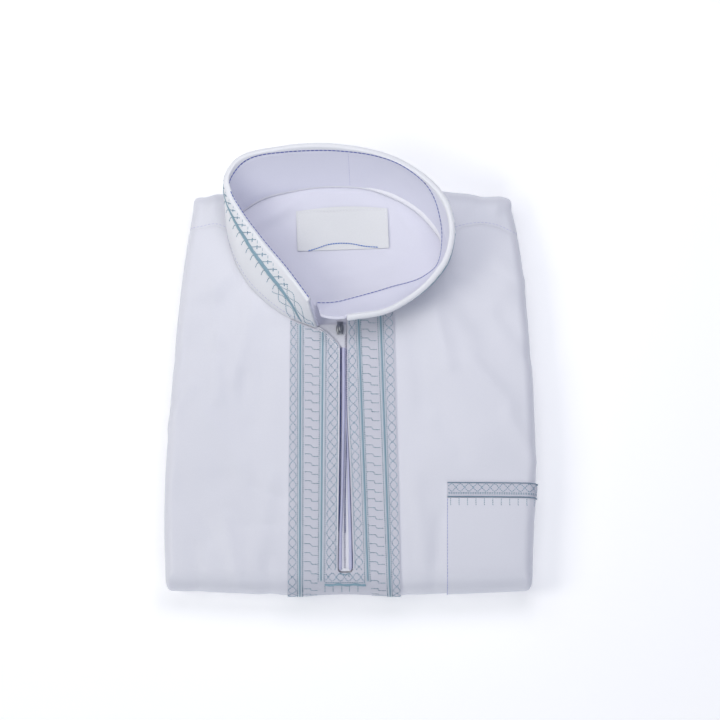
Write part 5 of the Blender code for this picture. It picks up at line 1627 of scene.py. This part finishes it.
def sew_collar():
    """Embroidery round the collar's outer face: a wound cord with feather stitches above and ticks below."""
    cord = []
    for run in spread(9.2, BAND_LENGTH - 1.2, 280):
        taper = smoothstep(9.0, 11.0, run) * smoothstep(BAND_LENGTH - 1.0, BAND_LENGTH - 3.0, run)
        plump = cord_plump(run)
        height = collar_cord(run) * BAND_HEIGHT + 0.12 * math.sin(run * 1.2)
        cord.append((run, height, 0.0, plump * (0.4 + 0.6 * taper), (0.15 + 0.5 * taper) * plump))
    make_cords("collar_cord", [cord], cord_look, surface=outside)
    threads = {"fine": Sewing(outside), "faint": Sewing(outside)}
    run = MOTIFS_FROM
    while run < BAND_LENGTH - 8.0:
        foot = collar_cord(run) * BAND_HEIGHT
        room = min(1.0, (BAND_HEIGHT * 0.95 - foot) / 6.6)
        for thread, width, spots in MOTIF:
            shrink = room if spots[-1][1] > 0 else 1.0
            threads[thread].line([(run + a * shrink, foot + up * shrink) for a, up in spots], 0.1, width,
                                 1.5, -0.1)
        run += MOTIF_PITCH
    threads["fine"].make("collar_feather_stitch", fine_teal_look, "teal_thread", seed=51)
    threads["faint"].make("collar_feather_ends", faint_teal_look, "teal_thread", seed=53)

    net = Sewing(outside)
    for near, far in END_NETS:
        for strand in (0, 1):
            spots = []
            for run in np.arange(END_NET_FROM, 0.8, -0.3):
                turn = (END_NET_FROM - run) / LATTICE_PITCH + strand
                across = (near + far) / 2 + (far - near) / 2 * sway(turn, 0.8)
                spots.append((float(run) - END_NET_SLANT * across,
                              collar_cord(max(run, 9.0)) * BAND_HEIGHT + across))
            net.line(spots, 0.08, 0.55, 1.05, 0.14,
                     lambda run, height: 0.8 < run and 1.2 < height < BAND_HEIGHT * 0.93)
    net.make("collar_end_net", fine_teal_look, "teal_thread", seed=52)


# ---------------------------------------------------------------- make everything

front = make_front()
yoke = make_yoke()
back = make_back()
bundle = make_layers()
outer_band = make_band("collar_outer_band", outer_profile, COLLAR_RUN[:BAND_STATIONS], band_lit_look,
                       "collar_outer")
inner_band = make_band("collar_inner_band", inner_profile, COLLAR_RUN, band_inside_shaded_look,
                       "collar_inner")
left_strip = make_strip("placket_left_cloth", LEFT_STRIP, "left", "placket_left")
right_strip = make_strip("placket_right_cloth", RIGHT_STRIP, "right", "placket_right")
sew_strip("placket_left", LEFT_STRIP, "left", 3)
sew_strip("placket_right", RIGHT_STRIP, "right", 2)
make_bar()
make_zip()
make_slider()
pocket, pocket_band = make_pocket()
label = make_label()
sew_seams()
sew_collar()

for sheet in (front, yoke):
    declare_cloth(sheet, "folded", bundle)
declare_cloth(back, "laid", bundle)
for sheet in (outer_band, inner_band):
    declare_cloth(sheet, "folded", front, yoke)
for sheet in (left_strip, right_strip, pocket, pocket_band):
    declare_cloth(sheet, "folded", front)
declare_cloth(label, "laid", back)

# ---------------------------------------------------------------- floor, light and camera


def make_floor():
    bm = bmesh.new()
    bmesh.ops.create_grid(bm, x_segments=1, y_segments=1, size=3.0)
    mesh = bpy.data.meshes.new("floor")
    bm.to_mesh(mesh)
    bm.free()
    paper, _ = new_material("floor_paper")
    mesh.materials.append(finish(paper, Base_Color=(0.93, 0.93, 0.93, 1), Roughness=0.9,
                                 Emission_Color=(1.0, 1.0, 1.0, 1), Emission_Strength=0.25))
    add_object("floor", mesh)


def turned_to(holder, way):
    holder.rotation_euler = way.to_track_quat("-Z", "Y").to_euler()


def add_light(name, place, aim, size, power, colour):
    light = bpy.data.lights.new(name, "AREA")
    light.shape, light.size, light.energy, light.color = "SQUARE", size, power, colour
    holder = add_object(name, light)
    holder.location = place
    turned_to(holder, Vector(aim) - Vector(place))


CAMERA_AIM = in_frame(6.0, 8.6, 15.0)
CAMERA_ELEVATION = math.radians(80)
CAMERA_DISTANCE = 9.0
PICTURE_WIDTH, PIXEL = 720, 0.63     # pixels, and millimetres in each
FRAME_WIDTH = PICTURE_WIDTH * PIXEL * MM

make_floor()
add_light("key_left", (-1.1, -0.2, 1.2), (0, 0, 0.02), 0.7, 7.4, (1.0, 0.98, 0.885))
add_light("overhead", (0.12, 0.34, 0.70), (0, 0.04, 0.02), 0.45, 1.95, (0.98, 0.965, 1.0))
add_light("back_left", (-0.35, 0.42, 0.68), (-0.02, 0.04, 0.02), 0.45, 1.0, (1.0, 0.995, 0.985))
add_light("fill_front", (0.2, -1.3, 1.2), (0, 0.05, 0.03), 1.0, 6.45, (0.94, 0.965, 1.0))

world = bpy.data.worlds.new("studio")
world.use_nodes = True
sky = world.node_tree.nodes["Background"].inputs
sky["Color"].default_value = (0.69, 0.76, 1.0, 1)
sky["Strength"].default_value = 0.28
bpy.context.scene.world = world
bpy.context.scene.view_settings.view_transform = "Standard"

camera = bpy.data.cameras.new("camera")
camera.sensor_width = 36.0
camera.lens = camera.sensor_width * CAMERA_DISTANCE / FRAME_WIDTH
camera.clip_start, camera.clip_end = 0.05, 20.0
holder = add_object("camera", camera)
away = Vector((0.0, -math.cos(CAMERA_ELEVATION), math.sin(CAMERA_ELEVATION)))
holder.location = CAMERA_AIM + away * CAMERA_DISTANCE
turned_to(holder, -away)
bpy.context.scene.camera = holder
